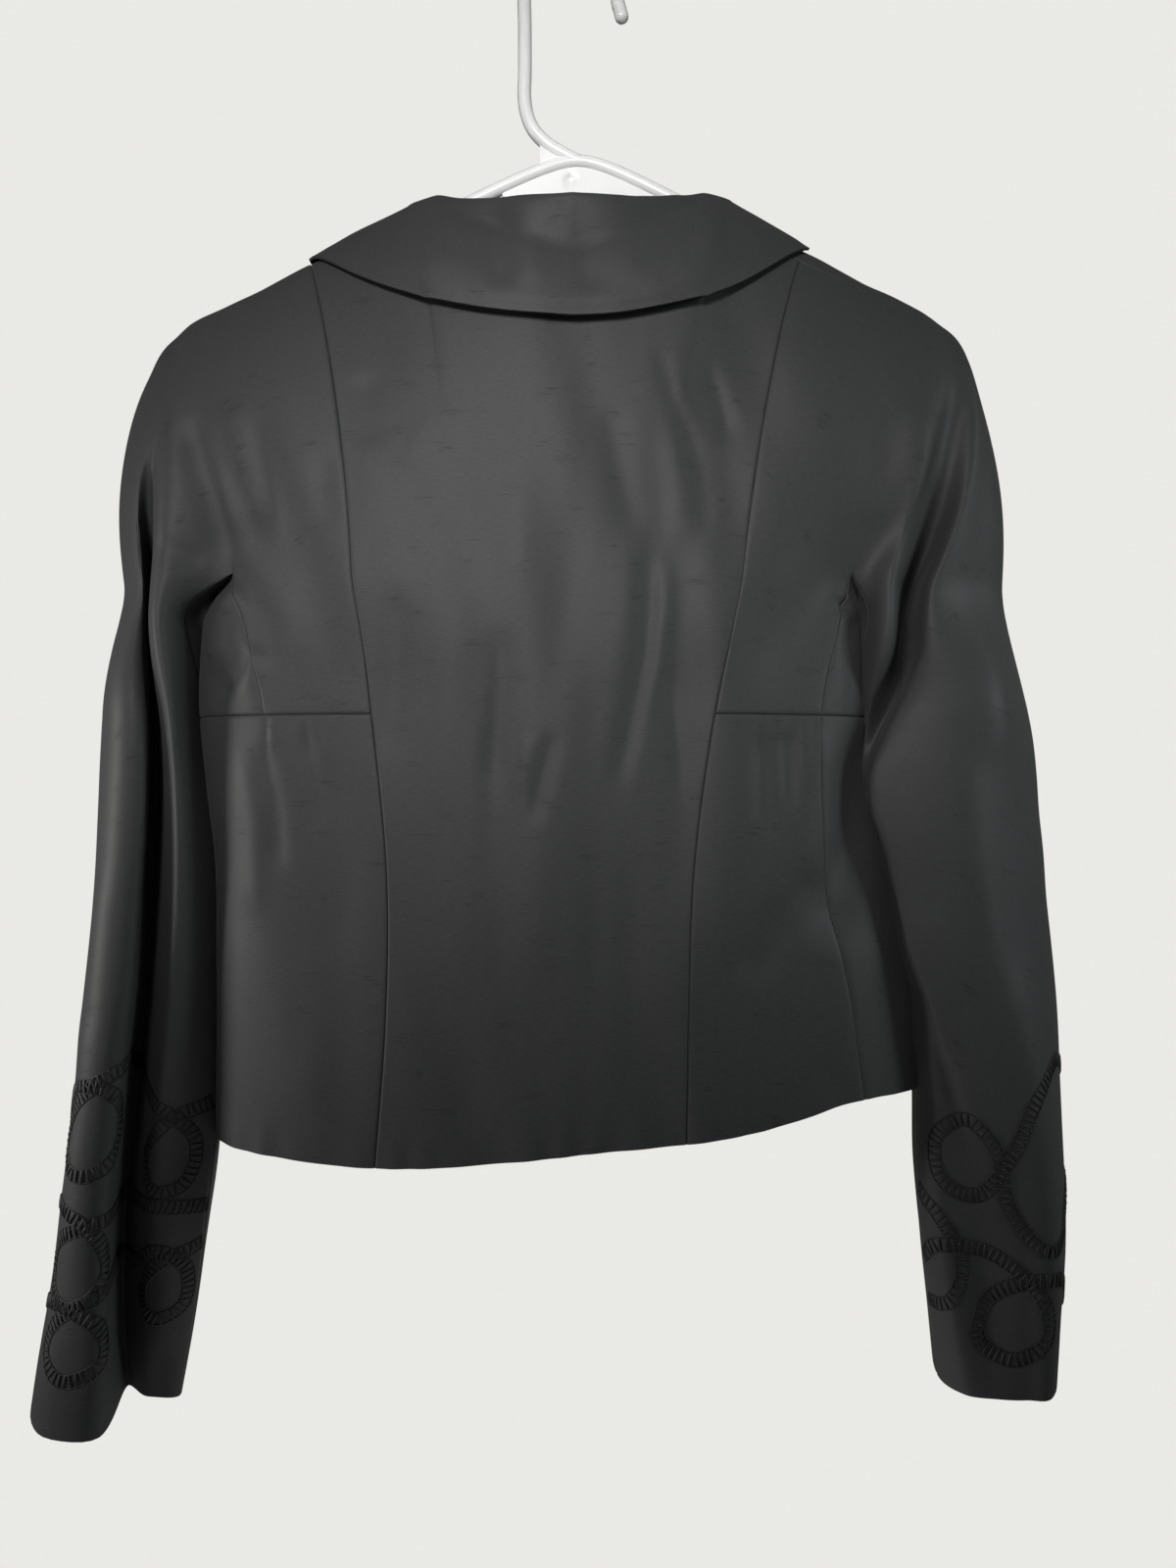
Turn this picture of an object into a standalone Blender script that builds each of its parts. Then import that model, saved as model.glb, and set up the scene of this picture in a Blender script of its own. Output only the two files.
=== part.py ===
"""Cropped blazer of silk shantung, hanging on a plain tubular plastic hanger.

Origin: the inner top of the hanger's hook. +Z is up, the garment's back faces +Y, its front -Y,
and the wearer's left is +X. Sizes are in millimetres and become metres when a mesh is made.

The cloth is one surface, worked out from two lines on each side, the shoulder line and the
underarm row, and from sections of the body and the sleeves below them. It is cut into the
maker's pieces along grid lines, and each piece gets its wall and its seam gap.
"""
import math

import bmesh
import bpy
import numpy as np

MM = 0.001
WALL = 2.0
COLLAR_WALL = 1.4
SEAM_GAP = 0.3
CLEARANCE = 0.3

# Hanger
TUBE_RADIUS = 3.65
TUBE_SIDES = 10
HOOK_RADIUS = 25.2
HOOK_CENTRE_Z = TUBE_RADIUS - HOOK_RADIUS
ARM_APEX_X = -3.0
ARM_APEX_Z = -115.6
ARM_SLOPES = {1.0: 0.50, -1.0: 0.53}
ARM_ROUNDING = 8.0
ARM_REACH = 180.0
TIP_RADIUS = 12.0
ARM_TO_CLOTH = 7.5
WEB_HALF = 40.0
WEB_BOTTOM_Z = -137.5
WEB_CURVE = 3.0
WEB_THICKNESS = 3.0

# Levels of the cloth
NECK_BACK_Z = -183.0
NECK_BACK_Y = 40.0
NECK_FADE = 0.2
UNDERARM_Z = -338.6
BLEND_DEPTH = 70.0
SLIT_DEPTH = 36.0
WAIST_SEAM_Z = -411.0
GUSSET_END_Z = -445.0
BREAK_Z = -385.0
HEM_NOMINAL_Z = -633.0
SADDLE_SAG = 11.0

# Half width and depth of the body at each level; z, left, right, back, front
BODY_SECTIONS = (
    (-338.6, 190.0, 152.0, 51.0, 47.0),
    (-364.0, 194.5, 154.0, 51.0, 47.5),
    (-400.0, 197.5, 154.5, 51.0, 48.0),
    (-445.0, 193.5, 157.5, 51.5, 48.0),
    (-480.0, 188.5, 164.0, 52.0, 48.0),
    (-540.0, 187.0, 176.5, 53.0, 49.0),
    (-600.0, 187.0, 181.5, 54.0, 50.0),
    (-640.0, 186.0, 182.5, 55.0, 51.0),
)
BODY_SQUARENESS = 2.4

# Distance of the body's seams from the centre; z, left and right princess seam, left and right side line
BODY_SEAMS = (
    (-338.6, 108.0, 85.0, 173.0, 143.0),
    (-411.0, 98.5, 70.5, 154.0, 125.5),
    (-490.0, 90.5, 60.0, 153.0, 129.0),
    (-565.0, 91.0, 57.0, 153.0, 141.0),
    (-635.0, 96.5, 56.0, 154.0, 152.0),
)

# The hem's height; distance to the wearer's left, z
HEM_HEIGHTS = (
    (-186.0, -603.0),
    (-148.0, -604.0),
    (-90.0, -617.0),
    (-10.0, -625.5),
    (90.0, -634.0),
    (190.0, -629.0),
)

# Lines of the upper garment, from the centre back over the sleeve to the front edge.
# station, x on the shoulder, x at the underarm, y at the underarm, rise of y near the shoulder, bow of x
LEFT_LINES = (
    ("centre back", 0.0, 0.0, 51.0, 14.0, 0.0),
    ("princess seam", 138.0, 108.0, 48.0, 58.0, -5.0),
    ("underarm valley", 187.0, 173.0, 20.0, 46.0, 17.0),
    ("inner crest", 197.0, 199.0, 35.0, 45.0, 13.0),
    ("sleeve groove", 205.0, 221.0, -10.0, 36.0, 9.0),
    ("outer crest", 212.0, 233.0, 14.0, 26.0, 9.0),
    ("outer edge", 218.0, 241.0, -8.0, 0.0, 8.5),
    ("front outer crest", 212.0, 233.0, -28.0, -26.0, 9.0),
    ("front groove", 205.0, 220.0, -30.0, -36.0, 9.0),
    ("front inner crest", 197.0, 200.0, -40.0, -44.0, 13.0),
    ("front valley", 187.0, 173.0, -30.0, -44.0, 17.0),
    ("front breast", 138.0, 104.0, -45.0, -54.0, -5.0),
    ("front edge", 83.0, 15.6, -46.0, -44.0, 0.0),
)
RIGHT_LINES = (
    ("centre back", 0.0, 0.0, 51.0, 14.0, 0.0),
    ("princess seam", 122.0, 85.0, 48.0, 58.0, -5.0),
    ("underarm valley", 176.0, 143.0, 25.0, 50.0, 5.0),
    ("inner crest", 184.0, 162.0, 33.0, 50.0, 9.0),
    ("sleeve groove", 192.0, 182.0, -6.0, 34.0, 13.0),
    ("outer crest", 198.0, 208.0, 22.0, 28.0, 10.0),
    ("outer edge", 204.0, 230.0, -6.0, 0.0, 7.0),
    ("front outer crest", 198.0, 216.0, -30.0, -26.0, 8.0),
    ("front groove", 192.0, 198.0, -30.0, -34.0, 10.0),
    ("front inner crest", 184.0, 176.0, -40.0, -46.0, 9.0),
    ("front valley", 176.0, 143.0, -30.0, -44.0, 5.0),
    ("front breast", 122.0, 96.0, -45.0, -54.0, -4.0),
    ("front edge", 81.0, 15.2, -46.0, -44.0, 0.0),
)
FRONT_EDGE_TOP_Z = -141.0
VALLEY, OUTER_EDGE, FRONT_VALLEY, FRONT_EDGE = 2, 6, 10, 12

# Sleeve sections; z, outer x, inner x, groove x, outer crest y, inner crest y, groove y, front y
LEFT_SLEEVE = (
    (-338.6, 243.0, 198.0, 221.0, 22.0, 36.0, -10.0, -44.0),
    (-375.0, 248.5, 201.0, 218.0, 27.0, 38.0, -12.0, -46.0),
    (-415.0, 251.5, 202.0, 217.0, 29.0, 37.0, -12.0, -48.0),
    (-460.0, 253.0, 196.0, 217.0, 29.0, 34.0, -11.0, -48.0),
    (-506.0, 254.5, 191.5, 217.0, 29.0, 30.0, -10.0, -47.0),
    (-553.0, 258.0, 190.5, 219.0, 30.0, 27.0, -9.0, -46.0),
    (-600.0, 262.5, 190.0, 222.0, 31.0, 24.0, -8.0, -46.0),
    (-647.0, 267.0, 190.5, 225.0, 32.0, 20.0, -8.0, -45.0),
    (-691.0, 273.0, 196.0, 228.0, 33.0, 14.0, -9.0, -44.0),
    (-733.0, 280.0, 203.0, 230.0, 35.0, 4.0, -12.0, -43.0),
    (-773.0, 286.0, 210.0, 231.0, 36.0, -6.0, -16.0, -42.0),
)
RIGHT_SLEEVE = (
    (-338.6, 231.0, 161.0, 183.0, 26.0, 34.0, -6.0, -44.0),
    (-375.0, 239.0, 161.5, 183.0, 29.0, 36.0, -7.0, -46.0),
    (-415.0, 245.0, 161.0, 181.0, 31.0, 37.0, -6.0, -48.0),
    (-460.0, 249.5, 164.5, 182.0, 32.0, 37.0, -2.0, -48.0),
    (-506.0, 253.0, 173.5, 190.0, 33.0, 36.0, 4.0, -47.0),
    (-553.0, 257.0, 182.5, 201.0, 34.0, 35.0, 12.0, -46.0),
    (-600.0, 260.0, 185.5, 206.0, 35.0, 35.0, 20.0, -46.0),
    (-647.0, 261.0, 185.5, 210.0, 36.0, 34.0, 26.0, -45.0),
    (-691.0, 261.0, 185.0, 213.0, 36.0, 34.0, 31.0, -45.0),
    (-733.0, 258.5, 188.0, 216.0, 36.0, 33.0, 36.0, -44.0),
    (-754.0, 257.0, 190.5, 218.0, 36.0, 32.0, 39.0, -44.0),
)

# Collar sections; place along the neckline (0 centre back, 1 shoulder, 2 break point),
# stand from the seam to the roll (x, y, z), lift over the panel
COLLAR_SECTIONS = (
    (0.00, 0.0, 3.0, 23.2, 8.0),
    (0.12, -0.2, 3.0, 21.5, 8.0),
    (0.24, -0.7, 3.0, 17.5, 8.0),
    (0.36, -1.5, 3.0, 12.5, 7.4),
    (0.48, -2.8, 3.0, 8.0, 6.9),
    (0.60, -4.3, 2.0, 5.5, 6.2),
    (0.72, -6.3, 1.0, 5.0, 5.4),
    (0.84, -9.3, 0.5, 4.5, 4.6),
    (0.93, -11.0, 0.0, 3.9, 4.0),
    (1.00, -11.5, 0.0, 3.9, 4.0),
    (1.14, -10.5, -1.0, 2.6, 4.4),
    (1.30, -9.0, -1.0, 1.0, 4.8),
    (1.60, -7.0, -1.5, 0.5, 4.6),
    (1.85, -4.5, -1.5, 0.0, 4.2),
    (2.00, -2.5, -1.0, 0.0, 4.0),
)

# Outer edge of the collar on the back; place, left x, left z, right x, right z
COLLAR_BACK_EDGE = (
    (0.00, 0.0, -217.6, 0.0, -217.6),
    (0.12, 22.0, -216.2, 22.0, -216.2),
    (0.24, 44.0, -212.8, 43.0, -212.0),
    (0.36, 64.0, -207.8, 61.0, -206.4),
    (0.48, 82.0, -201.3, 76.0, -198.9),
    (0.60, 98.0, -194.0, 90.0, -190.6),
    (0.72, 111.0, -186.6, 102.0, -182.2),
    (0.84, 122.5, -178.8, 112.5, -174.0),
    (0.93, 131.0, -173.2, 120.0, -168.8),
    (1.00, 136.5, -171.0, 124.5, -167.0),
)

# Outer edge of the collar on the front; place, station, row
COLLAR_FRONT_EDGE = (
    (1.00, 11.00, 0.03),
    (1.14, 11.00, 0.20),
    (1.30, 11.00, 0.45),
    (1.60, 11.10, 0.75),
    (1.85, 11.50, 0.96),
    (2.00, 11.90, 1.06),
)
COLLAR_END_Z = -373.0
SHOULDER_UP = (0.447, 0.0, 0.894)
FRONT_PLACES = (1.0, 1.06, 1.14, 1.28, 1.42, 1.57, 1.72, 1.86, 2.0)

# Buttons on the front
BUTTON_LEVELS = (-412.0, -487.0, -562.0)
BUTTON_RADIUS = 11.0
BUTTON_THICKNESS = 5.0
OVERLAP_LIFT = 4.5
OVERLAP_WIDTH = 14.0
OVERLAP_BLEND = 90.0

SIDES = {
    "left": dict(sign=1.0, lines=LEFT_LINES, sleeve=LEFT_SLEEVE, width=1, princess=1, side_line=3,
                 tip_x=200.0, seam_row=0.0, side_station=3.0, front_lift=0.0),
    "right": dict(sign=-1.0, lines=RIGHT_LINES, sleeve=RIGHT_SLEEVE, width=2, princess=2, side_line=4,
                  tip_x=188.0, seam_row=0.24, side_station=2.0, front_lift=OVERLAP_LIFT),
}

CLOTH_COLOUR = (0.021, 0.024, 0.025, 1.0)
PLASTIC_COLOUR = (0.83, 0.84, 0.85, 1.0)


def smooth_through(knots, values, at, flat_start=False):
    """Cubic curve through values at the knots, each slope taken from the parabola through its neighbours."""
    knots = np.asarray(knots, float)
    values = np.asarray(values, float)
    step = np.diff(knots)
    rate = np.diff(values) / step
    slope = np.empty(len(knots))
    slope[1:-1] = (rate[:-1] * step[1:] + rate[1:] * step[:-1]) / (step[:-1] + step[1:])
    slope[0] = 0.0 if flat_start else rate[0]
    slope[-1] = rate[-1]
    at = np.asarray(at, float)
    cell = np.clip(np.searchsorted(knots, at, side="right") - 1, 0, len(knots) - 2)
    width = step[cell]
    t = np.clip((at - knots[cell]) / width, -0.5, 1.5)
    return ((1 + 2 * t) * (1 - t) ** 2 * values[cell] + t * (1 - t) ** 2 * width * slope[cell]
            + t * t * (3 - 2 * t) * values[cell + 1] + t * t * (t - 1) * width * slope[cell + 1])


def by_level(table, column, z):
    """A column of a table whose first column is a falling level, read smoothly at z."""
    rows = sorted(table)
    return smooth_through([row[0] for row in rows], [row[column] for row in rows], z)


def smoothstep(t):
    """0 below 0, 1 above 1, and a soft S between."""
    t = np.clip(t, 0.0, 1.0)
    return t * t * (3.0 - 2.0 * t)


def arm_z(across, sign):
    """Height of the hanger arm's axis at a distance from its apex: a hyperbola, rounded at the apex."""
    return ARM_APEX_Z - (np.sqrt((ARM_SLOPES[sign] * across) ** 2 + ARM_ROUNDING ** 2) - ARM_ROUNDING)


def shoulder_z(side, x):
    """Height of the cloth's shoulder line: it rests on the arm and falls away past the arm's tip."""
    across = x + side["sign"] * -ARM_APEX_X
    rest = arm_z(across, side["sign"]) + ARM_TO_CLOTH
    return rest - 0.024 * np.maximum(0.0, x - side["tip_x"]) ** 2


def top_line(side, k):
    """Neck seam from the centre back to the shoulder, a quarter of a pointed oval, then the shoulder line."""
    neck_x = side["lines"][FRONT_EDGE][1]
    widths = [neck_x] + [line[1] for line in side["lines"][1:OUTER_EDGE + 1]]
    place = np.select([k < 1.0, k < OUTER_EDGE], [2.0 * k - 1.0, k], FRONT_EDGE - k)
    x = smooth_through(range(len(widths)), widths, np.clip(place, 0.0, OUTER_EDGE))
    z = shoulder_z(side, x)
    turn = np.clip(k, 0.0, 0.5) * math.pi
    neck_z = shoulder_z(side, np.float64(neck_x))
    on_neck = k < 0.5
    back = np.maximum(np.cos(turn), 0.0)
    x = np.where(on_neck, neck_x * np.sin(turn) ** 1.33, x)
    y = np.where(on_neck, NECK_BACK_Y * back ** 1.33, 0.0)
    z = np.where(on_neck, NECK_BACK_Z + (neck_z - NECK_BACK_Z) * (1.0 - back ** 2.2), z)
    return x, y, z


def upper(side, k, fall):
    """Upper garment: each line k falls from the shoulder line (fall 0) to the underarm row (fall 1)
    and straight on below it. Its x runs between the two lines and bows out; its y grows with the
    square root of the fall, which rounds the shoulder, and bends to its own underarm depth."""
    k, fall = np.broadcast_arrays(np.asarray(k, float), np.asarray(fall, float))
    stations = np.arange(len(side["lines"]))
    read = [smooth_through(stations, [line[i] for line in side["lines"]], k, flat_start=i in (3, 4))
            for i in (2, 3, 4, 5)]
    end_x, end_y, rise, bow = read
    top_x, top_y, top_z = top_line(side, k)
    chest = np.where(k < 1.0, NECK_BACK_Y * (1.0 - smoothstep(k)), 0.0)
    top_y = top_y + (chest - top_y) * np.sqrt(np.clip(fall / NECK_FADE, 0.0, 1.0))
    root = np.sqrt(np.maximum(fall, 0.0))
    over = np.maximum(fall - 1.0, 0.0)
    hump = np.where(fall < 1.0, 4.0 * np.maximum(fall, 0.0) ** 0.8 * (1.0 - fall),
                    0.2 * (np.exp(-20.0 * over) - 1.0))
    x = top_x + (end_x - top_x) * fall + bow * hump
    y = top_y + rise * root + (end_y - top_y - rise) * fall ** 2
    z = top_z + (UNDERARM_Z - top_z) * fall
    return np.stack([x, y, z], axis=-1)


def fall_at(side, k, z):
    """The fall at which line k reaches level z."""
    top_z = top_line(side, np.asarray(k, float))[2]
    return (z - top_z) / (UNDERARM_Z - top_z)


def front_edge_x(side, z):
    """The front edge runs from the neck to the break point, then down past the centre line."""
    neck_x = side["lines"][FRONT_EDGE][1]
    slant = neck_x * (BREAK_Z - z) / (BREAK_Z - FRONT_EDGE_TOP_Z)
    level = np.array([-640.0, -430.0, -408.0, BREAK_Z, UNDERARM_Z])
    at_arm = neck_x * (BREAK_Z - UNDERARM_Z) / (BREAK_Z - FRONT_EDGE_TOP_Z)
    low = smooth_through(level, [-OVERLAP_WIDTH, -OVERLAP_WIDTH, -11.0, 0.0, at_arm], z)
    return np.where(z > UNDERARM_Z, slant, low)


def body_ring(side, t, z):
    """Body section: an oval with squared corners. Station t: 0 centre back, 1 princess seam, 2 side line,
    3 side, 4 its mirror in front, 5 breast, 6 front edge. Between 2 and 4 it follows the oval's angle."""
    t, z = np.broadcast_arrays(np.asarray(t, float), np.asarray(z, float))
    half = by_level(BODY_SECTIONS, side["width"], z)
    back = by_level(BODY_SECTIONS, 3, z)
    front = by_level(BODY_SECTIONS, 4, z)
    princess = by_level(BODY_SEAMS, side["princess"], z)
    line = by_level(BODY_SEAMS, side["side_line"], z)
    n = BODY_SQUARENESS
    start = np.arccos(np.clip(line / half, 0.0, 1.0) ** (n / 2))
    angle = start * (3.0 - np.clip(t, 2.0, 4.0))
    breast = 0.62 * line
    x = np.select(
        [t <= 1, t <= 2, t <= 4, t <= 5],
        [princess * t, princess + (line - princess) * (t - 1), half * np.cos(angle) ** (2 / n),
         line + (breast - line) * (t - 4)],
        breast + (front_edge_x(side, z) - breast) * (t - 5))
    flat = (1.0 - np.minimum(1.0, np.abs(x) / half) ** n) ** (1 / n)
    depth = np.where(t <= 2, flat, np.where(t >= 4, -flat, np.sign(angle) * np.abs(np.sin(angle)) ** (2 / n)))
    y = depth * np.where(depth > 0, back, front)
    return np.stack([x, y, z], axis=-1)


def sleeve_ring(side, phi, z):
    """Sleeve section: a smooth closed curve. Station phi: 0 inner edge, 1 inner crest, 2 groove,
    3 to 3.5 outer crest, 4 outer edge, 5 to 7 the front, 8 the inner edge again."""
    phi, z = np.broadcast_arrays(np.asarray(phi, float), np.asarray(z, float))
    outer, inner, groove, crest_out, crest_in, groove_y, front = (
        by_level(side["sleeve"], i, z) for i in range(1, 8))
    middle_y = 0.5 * (crest_out + front)
    ring = [
        (inner, 0.4 * crest_in - 4.0), (0.45 * inner + 0.55 * groove, crest_in), (groove, groove_y),
        (0.74 * groove + 0.26 * outer, crest_out), (0.3 * groove + 0.7 * outer, 0.9 * crest_out),
        (outer, middle_y), (0.22 * inner + 0.78 * outer, front + 3.0),
        (0.5 * (inner + outer), front), (0.8 * inner + 0.2 * outer, front + 3.0),
    ]
    phi = np.interp(phi, [0.0, 3.0, 4.0, 8.0], [0.0, 3.0, 5.0, 9.0])
    x = np.zeros(phi.shape)
    y = np.zeros(phi.shape)
    cell = np.floor(phi).astype(int)
    u = phi - cell
    weights = (-0.5 * u + u ** 2 - 0.5 * u ** 3, 1 - 2.5 * u ** 2 + 1.5 * u ** 3,
               0.5 * u + 2 * u ** 2 - 1.5 * u ** 3, -0.5 * u ** 2 + 0.5 * u ** 3)
    xs = np.stack([point[0] for point in ring])
    ys = np.stack([point[1] for point in ring])
    for offset, weight in enumerate(weights):
        pick = (cell + offset - 1) % len(ring)
        x += weight * np.take_along_axis(xs, pick[None], axis=0)[0]
        y += weight * np.take_along_axis(ys, pick[None], axis=0)[0]
    return np.stack([x, y, z], axis=-1)


def saddle(side, w, z, spread):
    """Underarm arch between the back valley (w -1) and the front valley (w 1): it bows outwards and sags."""
    w, z = np.broadcast_arrays(np.asarray(w, float), np.asarray(z, float))
    back = upper(side, np.full(w.shape, float(VALLEY)), fall_at(side, np.full(w.shape, float(VALLEY)), z))
    front_k = np.full(w.shape, float(FRONT_VALLEY))
    front = upper(side, front_k, fall_at(side, front_k, z))
    share = (0.5 + 0.5 * w)[..., None]
    point = back + (front - back) * share
    arch = (1.0 - w ** 2) ** 2
    bow = by_level(BODY_SECTIONS, side["width"], np.float64(UNDERARM_Z)) - side["lines"][VALLEY][2] + 1.0
    depth = UNDERARM_Z - z
    point[..., 0] += arch * (bow + spread * depth)
    point[..., 2] -= arch * SADDLE_SAG
    return point


def blend_share(z, closeness):
    """How far a level is on its way from the upper lines to the sections below: a soft S, and near the
    slit (closeness 1) a quick start, so that the slit opens at once."""
    depth = UNDERARM_Z - z
    soft = smoothstep(depth / BLEND_DEPTH)
    quick = 1.0 - (1.0 - np.clip(depth / SLIT_DEPTH, 0.0, 1.0)) ** 2
    return (soft + (quick - soft) * closeness)[..., None]


def torso(side, t, z):
    """Below the underarm row the upper lines blend into the body's sections."""
    t, z = np.broadcast_arrays(np.asarray(t, float), np.asarray(z, float))
    k = np.where(t <= 2, t, np.clip(t + 6.0, 10.0, 12.0))
    above = upper(side, k, fall_at(side, k, z))
    arch = saddle(side, np.clip(t - 3.0, -1.0, 1.0), z, -0.12)
    above = np.where(((t > 2) & (t < 4))[..., None], arch, above)
    blend = blend_share(z, np.clip(np.minimum(t - 1.0, 5.0 - t), 0.0, 1.0) ** 3)
    return above * (1 - blend) + body_ring(side, t, z) * blend


def sleeve(side, k, z):
    """Below the underarm row the upper lines blend into the sleeve's sections. Stations 2 to 10 run from
    the back valley round the outer edge to the front valley; -1 to 1 is the gusset's side."""
    k, z = np.broadcast_arrays(np.asarray(k, float), np.asarray(z, float))
    gusset = 0.5 * (1.0 - smoothstep((UNDERARM_Z - z) / (UNDERARM_Z - GUSSET_END_Z)))
    on_gusset = k <= 1.0
    near_back = gusset + (1 - gusset) * (k - 2)
    near_front = 7 + (1 - gusset) * (k - 9)
    phi = np.select([on_gusset, k < 3, k > 9], [(-k * gusset) % 8.0, near_back, near_front], k - 2.0)
    outer_k = np.clip(k, 2.0, 10.0)
    above = upper(side, outer_k, fall_at(side, outer_k, z))
    arch = saddle(side, np.clip(k, -1.0, 1.0), z, 0.12)
    above = np.where(on_gusset[..., None], arch, above)
    blend = blend_share(z, np.clip(0.5 * np.maximum(4.0 - k, k - 8.0), 0.0, 1.0))
    return above * (1 - blend) + sleeve_ring(side, phi, z) * blend


def stations(*spans):
    """Grid stations: each span is (start, end, cells); spans share their ends."""
    values = [spans[0][0]]
    for start, end, cells in spans:
        values += [start + (end - start) * (i + 1) / cells for i in range(cells)]
    return np.array(values)


class Cloth:
    """The garment's surface as grid blocks; each cell belongs to a named piece."""

    def __init__(self):
        self.points = []
        self.faces = []
        self.labels = []
        self.count = 0

    def add(self, grid, label, flip):
        rows, columns = grid.shape[:2]
        self.points.append(grid.reshape(-1, 3))
        for i in range(rows - 1):
            for j in range(columns - 1):
                a = self.count + i * columns + j
                face = (a, a + 1, a + columns + 1, a + columns)
                self.faces.append(face[::-1] if flip else face)
                self.labels.append(label(i, j) if callable(label) else label)
        self.count += rows * columns


def overlap_lift(side, points):
    """How far the outer front edge stands off, so that it lies over the other front below the break."""
    near_edge = smoothstep((OVERLAP_BLEND - points[..., 0]) / OVERLAP_BLEND)
    low = smoothstep((-330.0 - points[..., 2]) / 50.0)
    return np.where(points[..., 1] < 0.0, side["front_lift"] * near_edge * low, 0.0)


UPPER_ROWS = (0.0, 0.12, 0.24, 0.38, 0.51, 0.64, 0.76, 0.88, 1.0)


def hem_z(x):
    """Height of the hem at a place across the garment, the wearer's left positive."""
    return smooth_through([row[0] for row in HEM_HEIGHTS], [row[1] for row in HEM_HEIGHTS], x)


def add_side(cloth, name):
    """All blocks of one side, in grid rows from the shoulder down."""
    side = SIDES[name]
    sign = side["sign"]
    flip = sign < 0
    kimono, front = "kimono_back_" + name, "front_" + name
    seam_row = side["seam_row"]

    def place(grid, lift=False):
        grid = grid.copy()
        if lift:
            grid[..., 1] -= overlap_lift(side, grid)
        grid[..., 0] *= sign
        return grid

    falls = (np.array(UPPER_ROWS) ** 2)[:, None]
    back_k = stations((0, 0.5, 4), (0.5, 1, 3), (1, 2, 4), (2, 6, 8))
    front_k = stations((6, 10, 8), (10, 11, 4), (11, 12, 3))

    def upper_label(i, j):
        on_front = UPPER_ROWS[i] < seam_row - 0.01
        k = back_k[j]
        if k < 0.49:
            return "back_centre"
        if on_front:
            return front
        return "back_centre" if k < 0.99 else kimono

    cloth.add(place(upper(side, back_k, falls)), upper_label, flip)
    cloth.add(place(upper(side, front_k, falls), lift=True), front, flip)

    arm_levels = stations((UNDERARM_Z, WAIST_SEAM_Z, 4))[:, None]
    around = stations((0, 0.5, 4), (0.5, 1, 3), (1, 2, 4), (2, 3, 3), (3, 4, 3), (4, 5, 4), (5, 6, 3))

    def yoke_label(i, j):
        t = around[j]
        return "back_centre" if t < 0.99 else kimono if t < 1.99 else "gusset_" + name if t < 3.99 else front

    cloth.add(place(torso(side, around, arm_levels), lift=True), yoke_label, flip)

    share = stations((0, 1, 8))[:, None]
    hem = hem_z(sign * torso(side, around, HEM_NOMINAL_Z)[..., 0])
    levels = WAIST_SEAM_Z + (hem[None, :] - WAIST_SEAM_Z) * share

    def lower_label(i, j):
        t = around[j]
        if t < 0.99:
            return "back_centre"
        return "side_back_" + name if t < side["side_station"] - 0.01 else front

    cloth.add(place(torso(side, around, levels), lift=True), lower_label, flip)

    gusset_rows = stations((UNDERARM_Z, GUSSET_END_Z, 5))
    cuff = side["sleeve"][-1][0]
    sleeve_rows = np.concatenate([gusset_rows, stations((GUSSET_END_Z, cuff, 14))[1:]])[:, None]
    cloth.add(place(sleeve(side, stations((2, 6, 8)), sleeve_rows)), kimono, flip)
    cloth.add(place(sleeve(side, stations((6, 10, 8)), sleeve_rows)), front, flip)
    cloth.add(place(sleeve(side, stations((1, -1, 6)), gusset_rows[:, None])), "gusset_" + name, flip)


def build_cloth():
    """The whole garment's surface as one welded bmesh; a face layer holds each face's piece."""
    cloth = Cloth()
    for name in SIDES:
        add_side(cloth, name)
    points = np.concatenate(cloth.points)
    names = sorted(set(cloth.labels))
    bm = bmesh.new()
    verts = [bm.verts.new(point) for point in points]
    for corners, label in zip(cloth.faces, cloth.labels):
        face = bm.faces.new([verts[i] for i in corners])
        face.material_index = names.index(label)
    bmesh.ops.remove_doubles(bm, verts=bm.verts, dist=0.02)
    bmesh.ops.dissolve_degenerate(bm, edges=bm.edges, dist=0.01)
    bm.verts.index_update()
    bm.normal_update()
    return bm, names


def wall_vectors(points, normals, faces, wall):
    """For each point the way to the inner layer: along its normal, longer where the faces lean on it."""
    share = np.ones(len(points))
    for face in faces:
        corner = points[list(face)]
        flat = np.cross(corner[2] - corner[0], corner[-1] - corner[1])
        length = np.linalg.norm(flat)
        if length > 1e-9:
            for vertex in face:
                share[vertex] = min(share[vertex], max(0.75, float(normals[vertex] @ flat) / length))
    return -normals * (wall / share)[:, None]


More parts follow.
